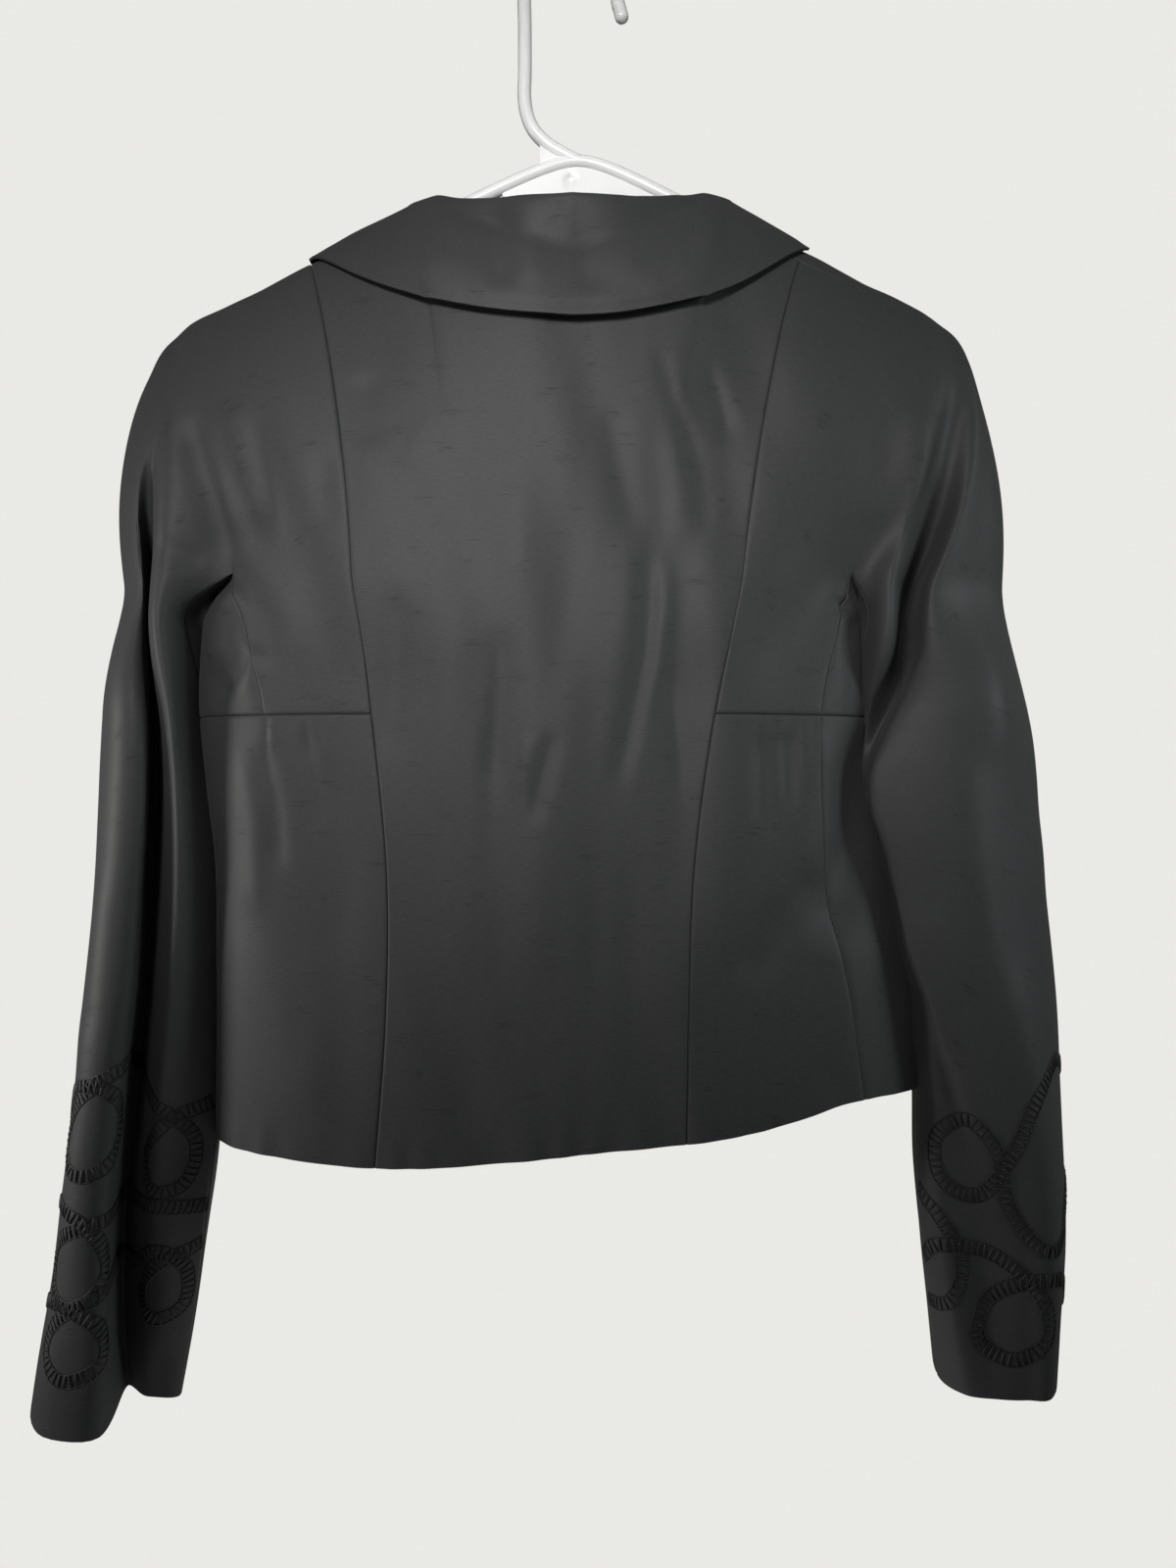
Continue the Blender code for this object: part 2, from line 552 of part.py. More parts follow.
def solid_from_sheet(name, points, normals, walls, faces, material):
    """A cloth piece: the sheet's edge moves in by half a seam gap, a second layer lies one wall inside,
    and a rim joins the two along every edge. Both layers are cut into the same triangles."""
    moves = np.zeros(points.shape)
    owner = {}
    for face in faces:
        for a, b in zip(face, face[1:] + face[:1]):
            owner[(a, b)] = face
    rim = [edge for edge in owner if (edge[1], edge[0]) not in owner]
    inward = {}
    for a, b in rim:
        direction = np.cross(normals[a] + normals[b], points[b] - points[a])
        direction /= np.linalg.norm(direction)
        for end in (a, b):
            inward.setdefault(end, []).append(direction)
    for vertex, directions in inward.items():
        total = sum(directions)
        moves[vertex] = total / max(0.35, 0.5 * float(total @ total))
    outer = points + moves * (SEAM_GAP / 2)
    size = len(points)
    triangles = []
    for face in faces:
        if len(face) == 4:
            a, b, c, d = face
            across = np.linalg.norm(points[a] - points[c]) < np.linalg.norm(points[b] - points[d])
            triangles += [(a, b, c), (a, c, d)] if across else [(a, b, d), (b, c, d)]
        else:
            triangles.append(tuple(face))
    shell = triangles + [tuple(i + size for i in reversed(face)) for face in triangles]
    for a, b in rim:
        if tuple(points[a]) < tuple(points[b]):
            shell += [(b, a, a + size), (b, a + size, b + size)]
        else:
            shell += [(b, a, b + size), (a, a + size, b + size)]
    return make_object(name, np.concatenate([outer, outer + walls]), shell, material)


def make_object(name, points, faces, material, smooth=True):
    """A mesh object at the origin from points in millimetres."""
    mesh = bpy.data.meshes.new(name)
    mesh.from_pydata((np.asarray(points) * MM).tolist(), [], [tuple(face) for face in faces])
    if smooth:
        mesh.shade_smooth()
        mesh.set_sharp_from_angle(angle=math.radians(50))
    mesh.materials.append(material)
    obj = bpy.data.objects.new(name, mesh)
    bpy.context.scene.collection.objects.link(obj)
    return obj


def make_material(name, colour, roughness):
    """A plain finish: colour and roughness."""
    material = bpy.data.materials.new(name)
    material.use_nodes = True
    shader = material.node_tree.nodes["Principled BSDF"]
    shader.inputs["Base Color"].default_value = colour
    shader.inputs["Roughness"].default_value = roughness
    shader.inputs["Metallic"].default_value = 0.0
    return material


def build_panels():
    """One closed solid for each piece of the garment's body and sleeves."""
    bm, names = build_cloth()
    points = np.array([vertex.co[:] for vertex in bm.verts])
    normals = np.array([vertex.normal[:] for vertex in bm.verts])
    corners = [[vertex.index for vertex in face.verts] for face in bm.faces]
    labels = [face.material_index for face in bm.faces]
    bm.free()
    walls = wall_vectors(points, normals, corners, WALL)
    for index, name in enumerate(names):
        order = {}
        faces = [[order.setdefault(vertex, len(order)) for vertex in face]
                 for face, label in zip(corners, labels) if label == index]
        own = list(order)
        finish = make_material(name, CLOTH_COLOUR, 0.6)
        solid_from_sheet(name, points[own], normals[own], walls[own], faces, finish)


def panel_point(side, k, row):
    """A point on the panel at station k and grid row, and the panel's outward normal there."""
    def at(station, fall_row):
        point = upper(side, station, fall_row ** 2)
        point[..., 1] -= overlap_lift(side, point)
        return point

    step = 0.03
    along = at(k + step, row) - at(np.maximum(k - step, 0.0), row)
    down = at(k, row + step) - at(k, np.maximum(row - step, 0.0))
    normal = np.cross(along, down)
    normal /= np.linalg.norm(normal, axis=-1, keepdims=True)
    return at(k, row), normal


def panel_at(side, x, z):
    """Station and row of the back panel at a distance x and a level z, found by halving."""
    low, high = np.zeros(x.shape), np.full(x.shape, 1.6)
    for _ in range(30):
        middle = 0.5 * (low + high)
        beyond = upper(side, middle, np.maximum(fall_at(side, middle, z), 0.0))[..., 0] > x
        low, high = np.where(beyond, low, middle), np.where(beyond, middle, high)
    return low, np.sqrt(np.maximum(fall_at(side, low, z), 0.0))


def collar_half(side, places):
    """Collar cross-sections: from the neck seam up the stand, over the roll, and down over the panel,
    whose own points, moved out by the lift, carry the fall."""
    table = np.array(COLLAR_SECTIONS)
    back_edge = np.array(COLLAR_BACK_EDGE)
    front_edge = np.array(COLLAR_FRONT_EDGE)
    on_front = places > 1.0
    stand = np.stack([smooth_through(table[:, 0], table[:, i], places, True) for i in (1, 2, 3)], axis=-1)
    lift = smooth_through(table[:, 0], table[:, 4], places, True)
    break_row = math.sqrt(float(fall_at(side, np.float64(FRONT_EDGE), COLLAR_END_Z)))
    seam_k = np.where(on_front, 12.0, 0.5 * places)
    seam_row = np.where(on_front, (places - 1.0) * break_row, 0.0)
    seam, _ = panel_point(side, seam_k, seam_row)
    _, up = panel_point(side, seam_k, np.maximum(seam_row, 0.3))
    near_shoulder = 1.0 - smoothstep(np.abs(places - 1.0) / 0.35)[:, None]
    up = up * (1.0 - near_shoulder) + np.array(SHOULDER_UP) * near_shoulder
    up /= np.linalg.norm(up, axis=1, keepdims=True)
    shares = np.array([0.12, 0.4, 0.7, 1.0])
    first = 1 if side["sign"] > 0 else 3
    edge_x, edge_z = (smooth_through(back_edge[:, 0], back_edge[:, i], np.minimum(places, 1.0), True)[:, None]
                      for i in (first, first + 1))
    back_k, back_row = panel_at(side, seam[:, :1] + (edge_x - seam[:, :1]) * shares,
                                seam[:, 2:] + (edge_z - seam[:, 2:]) * shares)
    edge_k, edge_row = (smooth_through(front_edge[:, 0], front_edge[:, i], np.maximum(places, 1.0))[:, None]
                        for i in (1, 2))
    front_k = seam_k[:, None] + (edge_k - seam_k[:, None]) * shares
    front_row = seam_row[:, None] + (edge_row - seam_row[:, None]) * shares
    over_shoulder = (places == 1.0)[:, None]
    back_k = np.where(over_shoulder, 0.5 + 0.5 * shares, back_k)
    back_row = np.where(over_shoulder, 0.03, back_row)
    fall_k = np.where(on_front[:, None], front_k, back_k)
    fall_row = np.where(on_front[:, None], front_row, back_row)
    fall, normal = panel_point(side, fall_k, fall_row)
    fall = fall + normal * lift[:, None, None]
    roll = seam + stand
    over = stand / np.linalg.norm(stand, axis=1, keepdims=True)
    top = roll + lift[:, None] * (0.5 * up + 0.45 * over)
    turn = roll + lift[:, None] * up
    stand_columns = [seam + 0.03 * stand, seam + 0.5 * stand, roll, top, turn]
    fall_columns = [fall[:, i] for i in range(len(shares))]
    return np.stack(stand_columns + fall_columns, axis=1)


def build_collar():
    """The shawl collar in one piece, from break point to break point."""
    places = np.array([row[0] for row in COLLAR_SECTIONS if row[0] < 1.0] + list(FRONT_PLACES))
    left = collar_half(SIDES["left"], places)
    right = collar_half(SIDES["right"], places)
    right[..., 0] *= -1.0
    rows = np.concatenate([left[::-1], right[1:]])
    grid_rows, grid_columns = rows.shape[:2]
    faces = []
    for i in range(grid_rows - 1):
        for j in range(grid_columns - 1):
            a = i * grid_columns + j
            faces.append([a, a + 1, a + grid_columns + 1, a + grid_columns])
    bm = bmesh.new()
    verts = [bm.verts.new(point) for point in rows.reshape(-1, 3)]
    for face in faces:
        bm.faces.new([verts[i] for i in face])
    bm.normal_update()
    normals = np.array([vertex.normal[:] for vertex in bm.verts])
    bm.free()
    middle = (len(places) - 1) * grid_columns + grid_columns - 1
    if normals[middle][1] < 0:
        faces = [face[::-1] for face in faces]
        normals = -normals
    points = rows.reshape(-1, 3)
    walls = wall_vectors(points, normals, faces, COLLAR_WALL)
    solid_from_sheet("collar", points, normals, walls, faces, make_material("collar", CLOTH_COLOUR, 0.6))


def build_buttons():
    """Cloth-covered buttons: a turned dome on the right front, along the centre line."""
    side = SIDES["right"]
    for index, level in enumerate(BUTTON_LEVELS):
        heights = level + np.linspace(-1.0, 1.0, 5) * BUTTON_RADIUS
        near = torso(side, np.linspace(5.7, 6.0, 7)[:, None], heights)
        seat = float((near[..., 1] - overlap_lift(side, near)).min()) - CLEARANCE
        profile = [(0.0, 0.0), (0.85, 0.0), (1.0, 0.3), (0.97, 0.62), (0.75, 0.88), (0.4, 0.98), (0.0, 1.0)]
        sides = 20
        points, rings = [], []
        for radius, height in profile:
            ring = []
            for step in range(1 if radius == 0.0 else sides):
                angle = 2 * math.pi * step / sides
                ring.append(len(points))
                points.append((BUTTON_RADIUS * radius * math.cos(angle), seat - BUTTON_THICKNESS * height,
                               level + BUTTON_RADIUS * radius * math.sin(angle)))
            rings.append(ring)
        faces = []
        for low, high in zip(rings, rings[1:]):
            for step in range(sides):
                after = (step + 1) % sides
                corners = [low[step % len(low)], low[after % len(low)]]
                corners += [high[after % len(high)], high[step % len(high)]]
                faces.append(list(dict.fromkeys(corners)))
        name = "button_%d" % (index + 1)
        make_object(name, points, faces, make_material(name, CLOTH_COLOUR, 0.55))


def tube(path, radius, sides, closed):
    """Points and faces of a round tube along a path in the plane y = 0."""
    path = np.asarray(path, float)
    if closed:
        along = np.roll(path, -1, axis=0) - np.roll(path, 1, axis=0)
    else:
        along = np.gradient(path, axis=0)
    along /= np.linalg.norm(along, axis=1, keepdims=True)
    side = np.tile([0.0, 1.0, 0.0], (len(path), 1))
    across = np.cross(along, side)
    angle = 2 * math.pi * np.arange(sides) / sides
    ring = (path[:, None] + radius * (np.cos(angle)[None, :, None] * side[:, None]
                                      + np.sin(angle)[None, :, None] * across[:, None]))
    faces = []
    count = len(path)
    for i in range(count if closed else count - 1):
        for j in range(sides):
            after, ahead = (j + 1) % sides, (i + 1) % count
            faces.append((i * sides + j, i * sides + after, ahead * sides + after, ahead * sides + j))
    if not closed:
        faces.append(tuple(reversed(range(sides))))
        faces.append(tuple((count - 1) * sides + j for j in range(sides)))
    return ring.reshape(-1, 3), faces


def arc(centre, radius, start, end, cells):
    """Points of an arc in the plane y = 0; angles in degrees from +X towards +Z."""
    angles = np.radians(np.linspace(start, end, cells + 1))
    return [(centre[0] + radius * math.cos(a), 0.0, centre[1] + radius * math.sin(a)) for a in angles]


def hook_path():
    """From the flared tip over the hook, down the shank and round the bend into the apex."""
    turn = arc((0.0, HOOK_CENTRE_Z), HOOK_RADIUS, 198.0, 0.0, 16)
    tip = [(-27.2, 0.0, -42.0), (-25.4, 0.0, -35.5)]
    shank = [(25.2, 0.0, -45.0), (25.2, 0.0, -70.0), (25.0, 0.0, -84.0), (22.6, 0.0, -92.5),
             (17.5, 0.0, -100.5), (10.5, 0.0, -107.5), (3.0, 0.0, -112.8), (-3.0, 0.0, -115.8)]
    return tip + turn + shank


def frame_path():
    """Arms and lower bar as one loop: hyperbola arms, round tips and a straight bar."""
    reach = np.array([8.0, 16.0, 26.0, 40.0, 60.0, 90.0, 120.0, 150.0, ARM_REACH])
    halves = []
    for sign in (1.0, -1.0):
        slope = math.atan(ARM_SLOPES[sign])
        centre = (ARM_REACH - TIP_RADIUS * math.sin(slope),
                  float(arm_z(ARM_REACH, sign)) - TIP_RADIUS * math.cos(slope))
        half = [(x, 0.0, float(arm_z(x, sign))) for x in reach[:-1]]
        half += arc(centre, TIP_RADIUS, 90.0 - math.degrees(slope), -90.0, 9)
        halves.append([(sign * x + ARM_APEX_X, y, z) for x, y, z in half])
    left_end, right_end = (np.array(half[-1]) for half in halves)
    bar = [tuple(left_end + (right_end - left_end) * share) for share in (0.2, 0.4, 0.6, 0.8)]
    return [(ARM_APEX_X, 0.0, ARM_APEX_Z)] + halves[0] + bar + halves[1][::-1]


def build_hanger():
    """One moulded hanger: hook and shank, the loop of arms and bar, and the thin web under the apex."""
    plastic = make_material("hanger", PLASTIC_COLOUR, 0.25)
    hanger = make_object("hanger", *tube(frame_path(), TUBE_RADIUS, TUBE_SIDES, True), plastic)
    hook = make_object("hook_helper", *tube(hook_path(), TUBE_RADIUS, TUBE_SIDES, False), plastic)
    across = np.linspace(-1.0, 1.0, 9) * WEB_HALF
    outline = [(x + ARM_APEX_X, float(arm_z(x, math.copysign(1.0, x)))) for x in across]
    outline += [(x + ARM_APEX_X, WEB_BOTTOM_Z + WEB_CURVE * (x / WEB_HALF) ** 2) for x in across[::-1][1:-1]]
    size = len(outline)
    points = [(x, y, z) for y in (-WEB_THICKNESS / 2, WEB_THICKNESS / 2) for x, z in outline]
    faces = [tuple(range(size)), tuple(reversed(range(size, 2 * size)))]
    faces += [((i + 1) % size, i, i + size, (i + 1) % size + size) for i in range(size)]
    web = make_object("web_helper", points, faces, plastic, smooth=False)
    for helper in (hook, web):
        helper.hide_render = True
        helper.display_type = "WIRE"
        union = hanger.modifiers.new("join " + helper.name, "BOOLEAN")
        union.operation = "UNION"
        union.object = helper
    return hanger


def main():
    for obj in list(bpy.context.scene.objects):
        bpy.data.objects.remove(obj, do_unlink=True)
    build_panels()
    build_collar()
    build_buttons()
    build_hanger()


main()
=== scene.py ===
"""Looks of the cropped silk blazer on its plastic hanger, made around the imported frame.

Frame: origin at the inner top of the hanger's hook, +Z up, the garment's back +Y, the wearer's
left +X. Tables are in millimetres; a mesh gets metres.
"""
import math

import bpy
import numpy as np
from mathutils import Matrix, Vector


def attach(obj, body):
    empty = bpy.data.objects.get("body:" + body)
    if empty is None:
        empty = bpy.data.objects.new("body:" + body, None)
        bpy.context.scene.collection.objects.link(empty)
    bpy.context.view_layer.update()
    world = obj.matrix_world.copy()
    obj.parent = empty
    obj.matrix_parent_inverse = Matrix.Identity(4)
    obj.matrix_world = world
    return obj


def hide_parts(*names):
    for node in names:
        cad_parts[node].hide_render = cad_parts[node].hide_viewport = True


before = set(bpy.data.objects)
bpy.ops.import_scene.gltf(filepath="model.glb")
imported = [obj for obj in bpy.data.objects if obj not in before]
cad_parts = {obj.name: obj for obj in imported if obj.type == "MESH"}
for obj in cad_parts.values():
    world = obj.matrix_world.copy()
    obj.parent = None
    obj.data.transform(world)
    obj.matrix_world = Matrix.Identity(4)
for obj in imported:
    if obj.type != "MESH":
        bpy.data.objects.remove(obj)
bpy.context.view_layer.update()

# Lengths: one mm in metres; the rest in mm, for the cloth's thickness, seams, buttons, cells and welds
MM = 0.001
CLOTH = 0.9
COLLAR_CLOTH = 1.3
HALF_GAP = 0.13
CLEARANCE = 0.3
CELL = 3.0
WELD_CELL = 0.04
WELD_SHIFT = 0.3713
WELD_PRIMES = (4_000_003, 4_000_037)

# Hanger
TUBE_RADIUS = 3.65
HOOK_RADIUS = 25.2
HOOK_CENTRE_Z = TUBE_RADIUS - HOOK_RADIUS
ARM_APEX_X = -3.0
ARM_APEX_Z = -115.6
ARM_SLOPES = {1.0: 0.50, -1.0: 0.53}
ARM_ROUNDING = 8.0
ARM_REACH = 180.0
TIP_RADIUS = 12.0
ARM_TO_CLOTH = 7.5
WEB_HALF = 40.0
WEB_BOTTOM_Z = -137.5
WEB_CURVE = 3.0
WEB_THICKNESS = 3.0
WEB_LEAST = 0.4
WEB_COLUMNS = 61
WEB_ROWS = 15
TUBE_SIDES = 24
TIP_ROUNDING = 3.4
TIP_LEAST = 0.04
ARM_SPANS = ((3.0, 27.0, 9), (32.0, ARM_REACH, 30))
DIMPLE = (1.0, -126.0)
DIMPLE_DEPTH = 1.1
DIMPLE_RADIUS = 2.2
DIMPLE_EDGE = 1.2
TUBE_STEP = 1.1
HOOK_SWEEP = 198.0
CROOK = np.array([(17.2, -104.0), (17.2, -121.0), (4.0, -115.5), (6.0, -110.5)])

# Places (x, z) along the hook's flared tip, and down the shank from the end of the hook's arc
HOOK_TIP = ((-27.2, -42), (-25.4, -35.5))
SHANK = ((25.2, -45), (25.2, -70), (25.4, -81.5), (24.2, -90), (20.8, -98.2), (14.2, -105.4), (5.6, -110.9),
         (-3, -115.4))

# Levels and shares of the cloth
NECK_BACK_Z = -183.0
NECK_BACK_Y = 40.0
NECK_FADE = 0.2
NECK_OVAL = 1.33
NECK_DIP = 2.2
TIP_FALL = 0.024
UNDERARM_Z = -338.6
BLEND_DEPTH = 70.0
SLIT_DEPTH = 24.0
WAIST_SEAM_Z = -411.0
GUSSET_END_Z = -445.0
BREAK_Z = -385.0
HEM_NOMINAL_Z = -633.0
SADDLE_SAG = 11.0
ARCH_WIDENING = 0.12
BREAST_SHARE = 0.62
BOW_RISE = 0.8
BOW_BELOW = 0.2
BOW_FADE = 20.0
ROUND_SHARE = 0.2
WAVE_SWAY = 57.0

# The sleeve's front: share of the way from inner to outer edge, and how far it lies behind the front
SLEEVE_FRONT = ((0.78, 3.0), (0.5, 0.0), (0.2, 3.0))

# Half width and depth of the body at each level; z, left, right, back, front
BODY_SECTIONS = (
    (-338.6, 190, 152, 51, 47),
    (-364, 194.5, 154, 51, 47.5),
    (-400, 197.5, 154.5, 51, 48),
    (-445, 193.5, 157.5, 51.5, 48),
    (-480, 188.5, 164, 52, 48),
    (-540, 187, 176.5, 53, 49),
    (-600, 187, 181.5, 54, 50),
    (-640, 186, 182.5, 55, 51),
)
BODY_SQUARENESS = 2.4

# Distance of the body's seams from the centre; z, left and right princess seam, left and right side line
BODY_SEAMS = (
    (-338.6, 108, 85, 173, 143),
    (-411, 98.5, 70.5, 154, 125.5),
    (-490, 90.5, 60, 153, 129),
    (-565, 91, 57, 153, 141),
    (-635, 96.5, 56, 154, 152),
)

# The hem's height; distance to the wearer's left, z
HEM_HEIGHTS = (
    (-186, -603),
    (-148, -604),
    (-90, -617),
    (-10, -625.5),
    (90, -634),
    (190, -629),
)

# Lines of the upper garment, from the centre back over the sleeve to the front edge; for the left and then
# the right: x on the shoulder, x at the underarm, y at the underarm, rise of y near the shoulder, bow of x
LINES = (
    ("centre back", (0, 0, 51, 14, 0), (0, 0, 51, 14, 0)),
    ("princess seam", (138, 108, 48, 58, -5), (122, 85, 48, 58, -5)),
    ("underarm valley", (184, 173, 25, 46, 0), (176, 143, 25, 50, 5)),
    ("inner crest", (197, 208, 35, 42, 1), (184, 164, 33, 45, 8)),
    ("sleeve groove", (205, 227, -10, 38, -2), (192, 182.5, -6, 38, 6)),
    ("outer crest", (212, 221, 20, 29, 6), (198, 187, 25, 32, 14)),
    ("outer edge", (218, 241, -8, 0, 8.5), (204, 230, -6, 0, 7)),
    ("front outer crest", (212, 233, -28, -26, 9), (198, 216, -30, -26, 8)),
    ("front groove", (205, 220, -30, -36, 9), (192, 198, -30, -34, 10)),
    ("front inner crest", (197, 200, -40, -44, 13), (184, 176, -40, -46, 9)),
    ("front valley", (187, 173, -30, -44, 17), (176, 143, -30, -44, 5)),
    ("front breast", (138, 104, -45, -54, -5), (122, 96, -45, -54, -4)),
    ("front edge", (83, 15.6, -46, -44, 0), (81, 15.2, -46, -44, 0)),
)
FRONT_EDGE_TOP_Z = -141.0
VALLEY, OUTER_EDGE, FRONT_VALLEY, FRONT_EDGE = 2, 6, 10, 12

# Sleeve sections: z, outer x, front y, then x and y of inner edge, inner crest, groove, lobe's edge, lobe
LEFT_SLEEVE = (
    (-338.6, 243, -44, 196, 6, 208, 36, 228, -10, 220, 22, 235, 22),
    (-360, 246, -45, 196, -4, 208, 38, 228, -12, 221, 26, 237, 26),
    (-375, 248.5, -46, 195, -6, 206, 38, 228, -12, 219.5, 28, 237, 27),
    (-415, 251.5, -48, 194, -8, 200.5, 37, 225.5, -12, 215.5, 30, 236, 28),
    (-460, 253, -48, 190, -8, 199, 33, 225, -11, 216, 30, 237, 28),
    (-506, 254.5, -47, 187, -8, 200, 29, 227, -10, 219, 30, 240, 28),
    (-553, 258, -46, 187, -6, 204, 26, 230, -9, 222.5, 31, 244, 29),
    (-600, 262.5, -46, 188, -2, 210, 23, 234, -8, 229, 32, 249, 30),
    (-647, 267, -45, 190.5, 4, 215, 19, 239, -8, 233, 33, 254, 31),
    (-691, 273, -44, 196, 1.6, 219, 13, 242, -9, 235, 34, 259, 31),
    (-733, 280, -43, 203, -2.4, 223, 4, 244, -12, 234, 36, 263, 33),
    (-773, 286, -42, 210, -6.4, 227, -5, 243, -16, 236, 37, 267, 34),
)
RIGHT_SLEEVE = (
    (-338.6, 231, -44, 152, 0, 163, 34, 182, -6, 182, 25, 212, 26),
    (-375, 239, -46, 150, -6, 160, 34, 180.5, -7, 179, 28, 212, 33),
    (-396, 242, -47, 149, -8, 155, 22, 173, 0, 172, 31, 212, 35),
    (-421, 246, -48, 148, -6, 153, 8, 160, 9, 161, 33, 212, 36),
    (-440, 248, -48, 149, -6, 150.5, 5, 153.5, 15, 154, 34, 210, 36),
    (-460, 249.5, -48, 152, -6, 152, 5, 153, 18, 155, 35, 210, 36),
    (-480, 251.5, -47, 158, -6, 158, 7, 159, 20, 162, 36, 212, 36),
    (-506, 253, -47, 164, -6, 164.5, 10, 166, 24, 168, 36, 215, 36),
    (-530, 255, -46, 168, -4, 168.5, 18, 170, 30, 175, 37, 220, 36),
    (-553, 257, -46, 176, 2, 177, 22, 179, 32, 184, 37, 226, 36),
    (-575, 258.5, -46, 177, 4, 179.5, 25, 184, 32, 192, 37, 230, 36),
    (-600, 260, -46, 180.5, 0, 183, 28, 192, 33, 203, 37, 235, 35),
    (-647, 261, -45, 180, 8, 184.5, 31, 203, 34, 220, 37, 242, 34),
    (-691, 261, -45, 183, 8, 188, 32, 208, 34, 225, 37, 244, 34),
    (-733, 258.5, -44, 188, 9, 194, 32, 212, 35, 227, 37, 243, 34),
    (-754, 257, -44, 190.5, 9, 198, 31, 214, 36, 228, 37, 242, 34),
)

# Collar sections; place along the neckline (0 centre back, 1 shoulder, 2 break point),
# stand from the seam to the roll (x, y, z), lift over the panel
COLLAR_SECTIONS = (
    (0.00, 0, 3, 23.2, 8),
    (0.12, -0.2, 3, 21.5, 8),
    (0.24, -0.7, 3, 17.5, 8),
    (0.36, -1.5, 3, 12.5, 7.4),
    (0.48, -2.8, 3, 8, 6.9),
    (0.60, -4.3, 2, 5.5, 6.2),
    (0.72, -6.3, 1, 5, 5.4),
    (0.84, -9.3, 0.5, 4.5, 4.6),
    (0.93, -11, 0, 3.9, 4),
    (1.00, -11.5, 0, 3.9, 4),
    (1.14, -10.5, -1, 2.6, 4.4),
    (1.30, -9, -1, 1, 4.8),
    (1.60, -7, -1.5, 0.5, 4.6),
    (1.85, -4.5, -1.5, 0, 4.2),
    (2.00, -2.5, -1, 0, 4),
)

# Outer edge of the collar on the back; place, left x, left z, right x, right z
COLLAR_BACK_EDGE = (
    (0.00, 0, -217.6, 0, -217.6),
    (0.12, 22, -216.2, 22, -216.2),
    (0.24, 44, -212.8, 43, -212),
    (0.36, 64, -207.8, 61, -206.4),
    (0.48, 82, -201.3, 76, -198.9),
    (0.60, 98, -194, 90, -190.6),
    (0.72, 111, -186.6, 102, -182.2),
    (0.84, 122.5, -178.8, 112.5, -174),
    (0.93, 131, -173.2, 120, -168.8),
    (1.00, 136.5, -171, 124.5, -167),
)

# Outer edge of the collar on the front; place, station, row
COLLAR_FRONT_EDGE = (
    (1.00, 11.00, 0.03),
    (1.14, 11.00, 0.20),
    (1.30, 11.00, 0.45),
    (1.60, 11.10, 0.75),
    (1.85, 11.50, 0.96),
    (2.00, 11.90, 1.06),
)
COLLAR_END_Z = -373.0
SHOULDER_UP = (0.447, 0, 0.894)

# Buttons and the front's overlap
BUTTON_LEVELS = (-412, -487, -562)
BUTTON_RADIUS = 11.0
BUTTON_THICKNESS = 5.0
OVERLAP_LIFT = 4.5
OVERLAP_WIDTH = 14.0
OVERLAP_BLEND = 90.0
HEM_LOWEST_Z = -640.0
OVERLAP_FULL_Z = -430.0
OVERLAP_START_Z = -408.0
OVERLAP_START_X = -11.0
OVERLAP_TOP_Z = -330.0
OVERLAP_FADE = 50.0
BUTTON_SHANK = 0.6

LEFT_LINES, RIGHT_LINES = ([(k, *row[i]) for k, row in enumerate(LINES)] for i in (1, 2))

SIDES = {
    "left": dict(sign=1.0, lines=LEFT_LINES, sleeve=LEFT_SLEEVE, column=1, tip_x=200.0, seam_row=0.0,
                 side_station=3, front_lift=0.0),
    "right": dict(sign=-1.0, lines=RIGHT_LINES, sleeve=RIGHT_SLEEVE, column=2, tip_x=188.0, seam_row=0.24,
                  side_station=2, front_lift=OVERLAP_LIFT),
}


def smooth_through(knots, values, at, flat_start=False):
    """Cubic curve through values at the knots, each slope taken from the parabola through its neighbours."""
    knots = np.asarray(knots, float)
    values = np.asarray(values, float)
    step = np.diff(knots)
    rate = np.diff(values) / step
    slope = np.empty(len(knots))
    slope[1:-1] = (rate[:-1] * step[1:] + rate[1:] * step[:-1]) / (step[:-1] + step[1:])
    slope[0] = 0.0 if flat_start else rate[0]
    slope[-1] = rate[-1]
    at = np.asarray(at, float)
    cell = np.clip(np.searchsorted(knots, at, side="right") - 1, 0, len(knots) - 2)
    width = step[cell]
    t = np.clip((at - knots[cell]) / width, -0.5, 1.5)
    return ((1 + 2 * t) * (1 - t) ** 2 * values[cell] + t * (1 - t) ** 2 * width * slope[cell]
            + t * t * (3 - 2 * t) * values[cell + 1] + t * t * (t - 1) * width * slope[cell + 1])


def column_at(table, column, at, flat_start=False):
    """A column of a table, read smoothly by the table's first column."""
    rows = sorted(table)
    return smooth_through([row[0] for row in rows], [row[column] for row in rows], at, flat_start)


def smoothstep(t):
    """0 below 0, 1 above 1, and a soft S between."""
    t = np.clip(t, 0.0, 1.0)
    return t * t * (3.0 - 2.0 * t)


def bell(distance, width):
    """1 at distance 0, falling away on both sides like a bell."""
    return np.exp(-((distance / width) ** 2))


def both(a, b):
    """Two values as arrays of one shape."""
    return np.broadcast_arrays(np.asarray(a, float), np.asarray(b, float))


def unit(vectors):
    """The vectors at length 1."""
    return vectors / np.maximum(np.linalg.norm(vectors, axis=-1, keepdims=True), 1e-12)


def cubic_weights(u):
    """Weights of four places in a row, for a smooth curve that passes the second at u 0, the third at 1."""
    return (-0.5 * u + u ** 2 - 0.5 * u ** 3, 1 - 2.5 * u ** 2 + 1.5 * u ** 3,
            0.5 * u + 2 * u ** 2 - 1.5 * u ** 3, -0.5 * u ** 2 + 0.5 * u ** 3)


def grid_numbers(*shape):
    """Point numbers of a grid."""
    return np.arange(math.prod(shape)).reshape(shape)


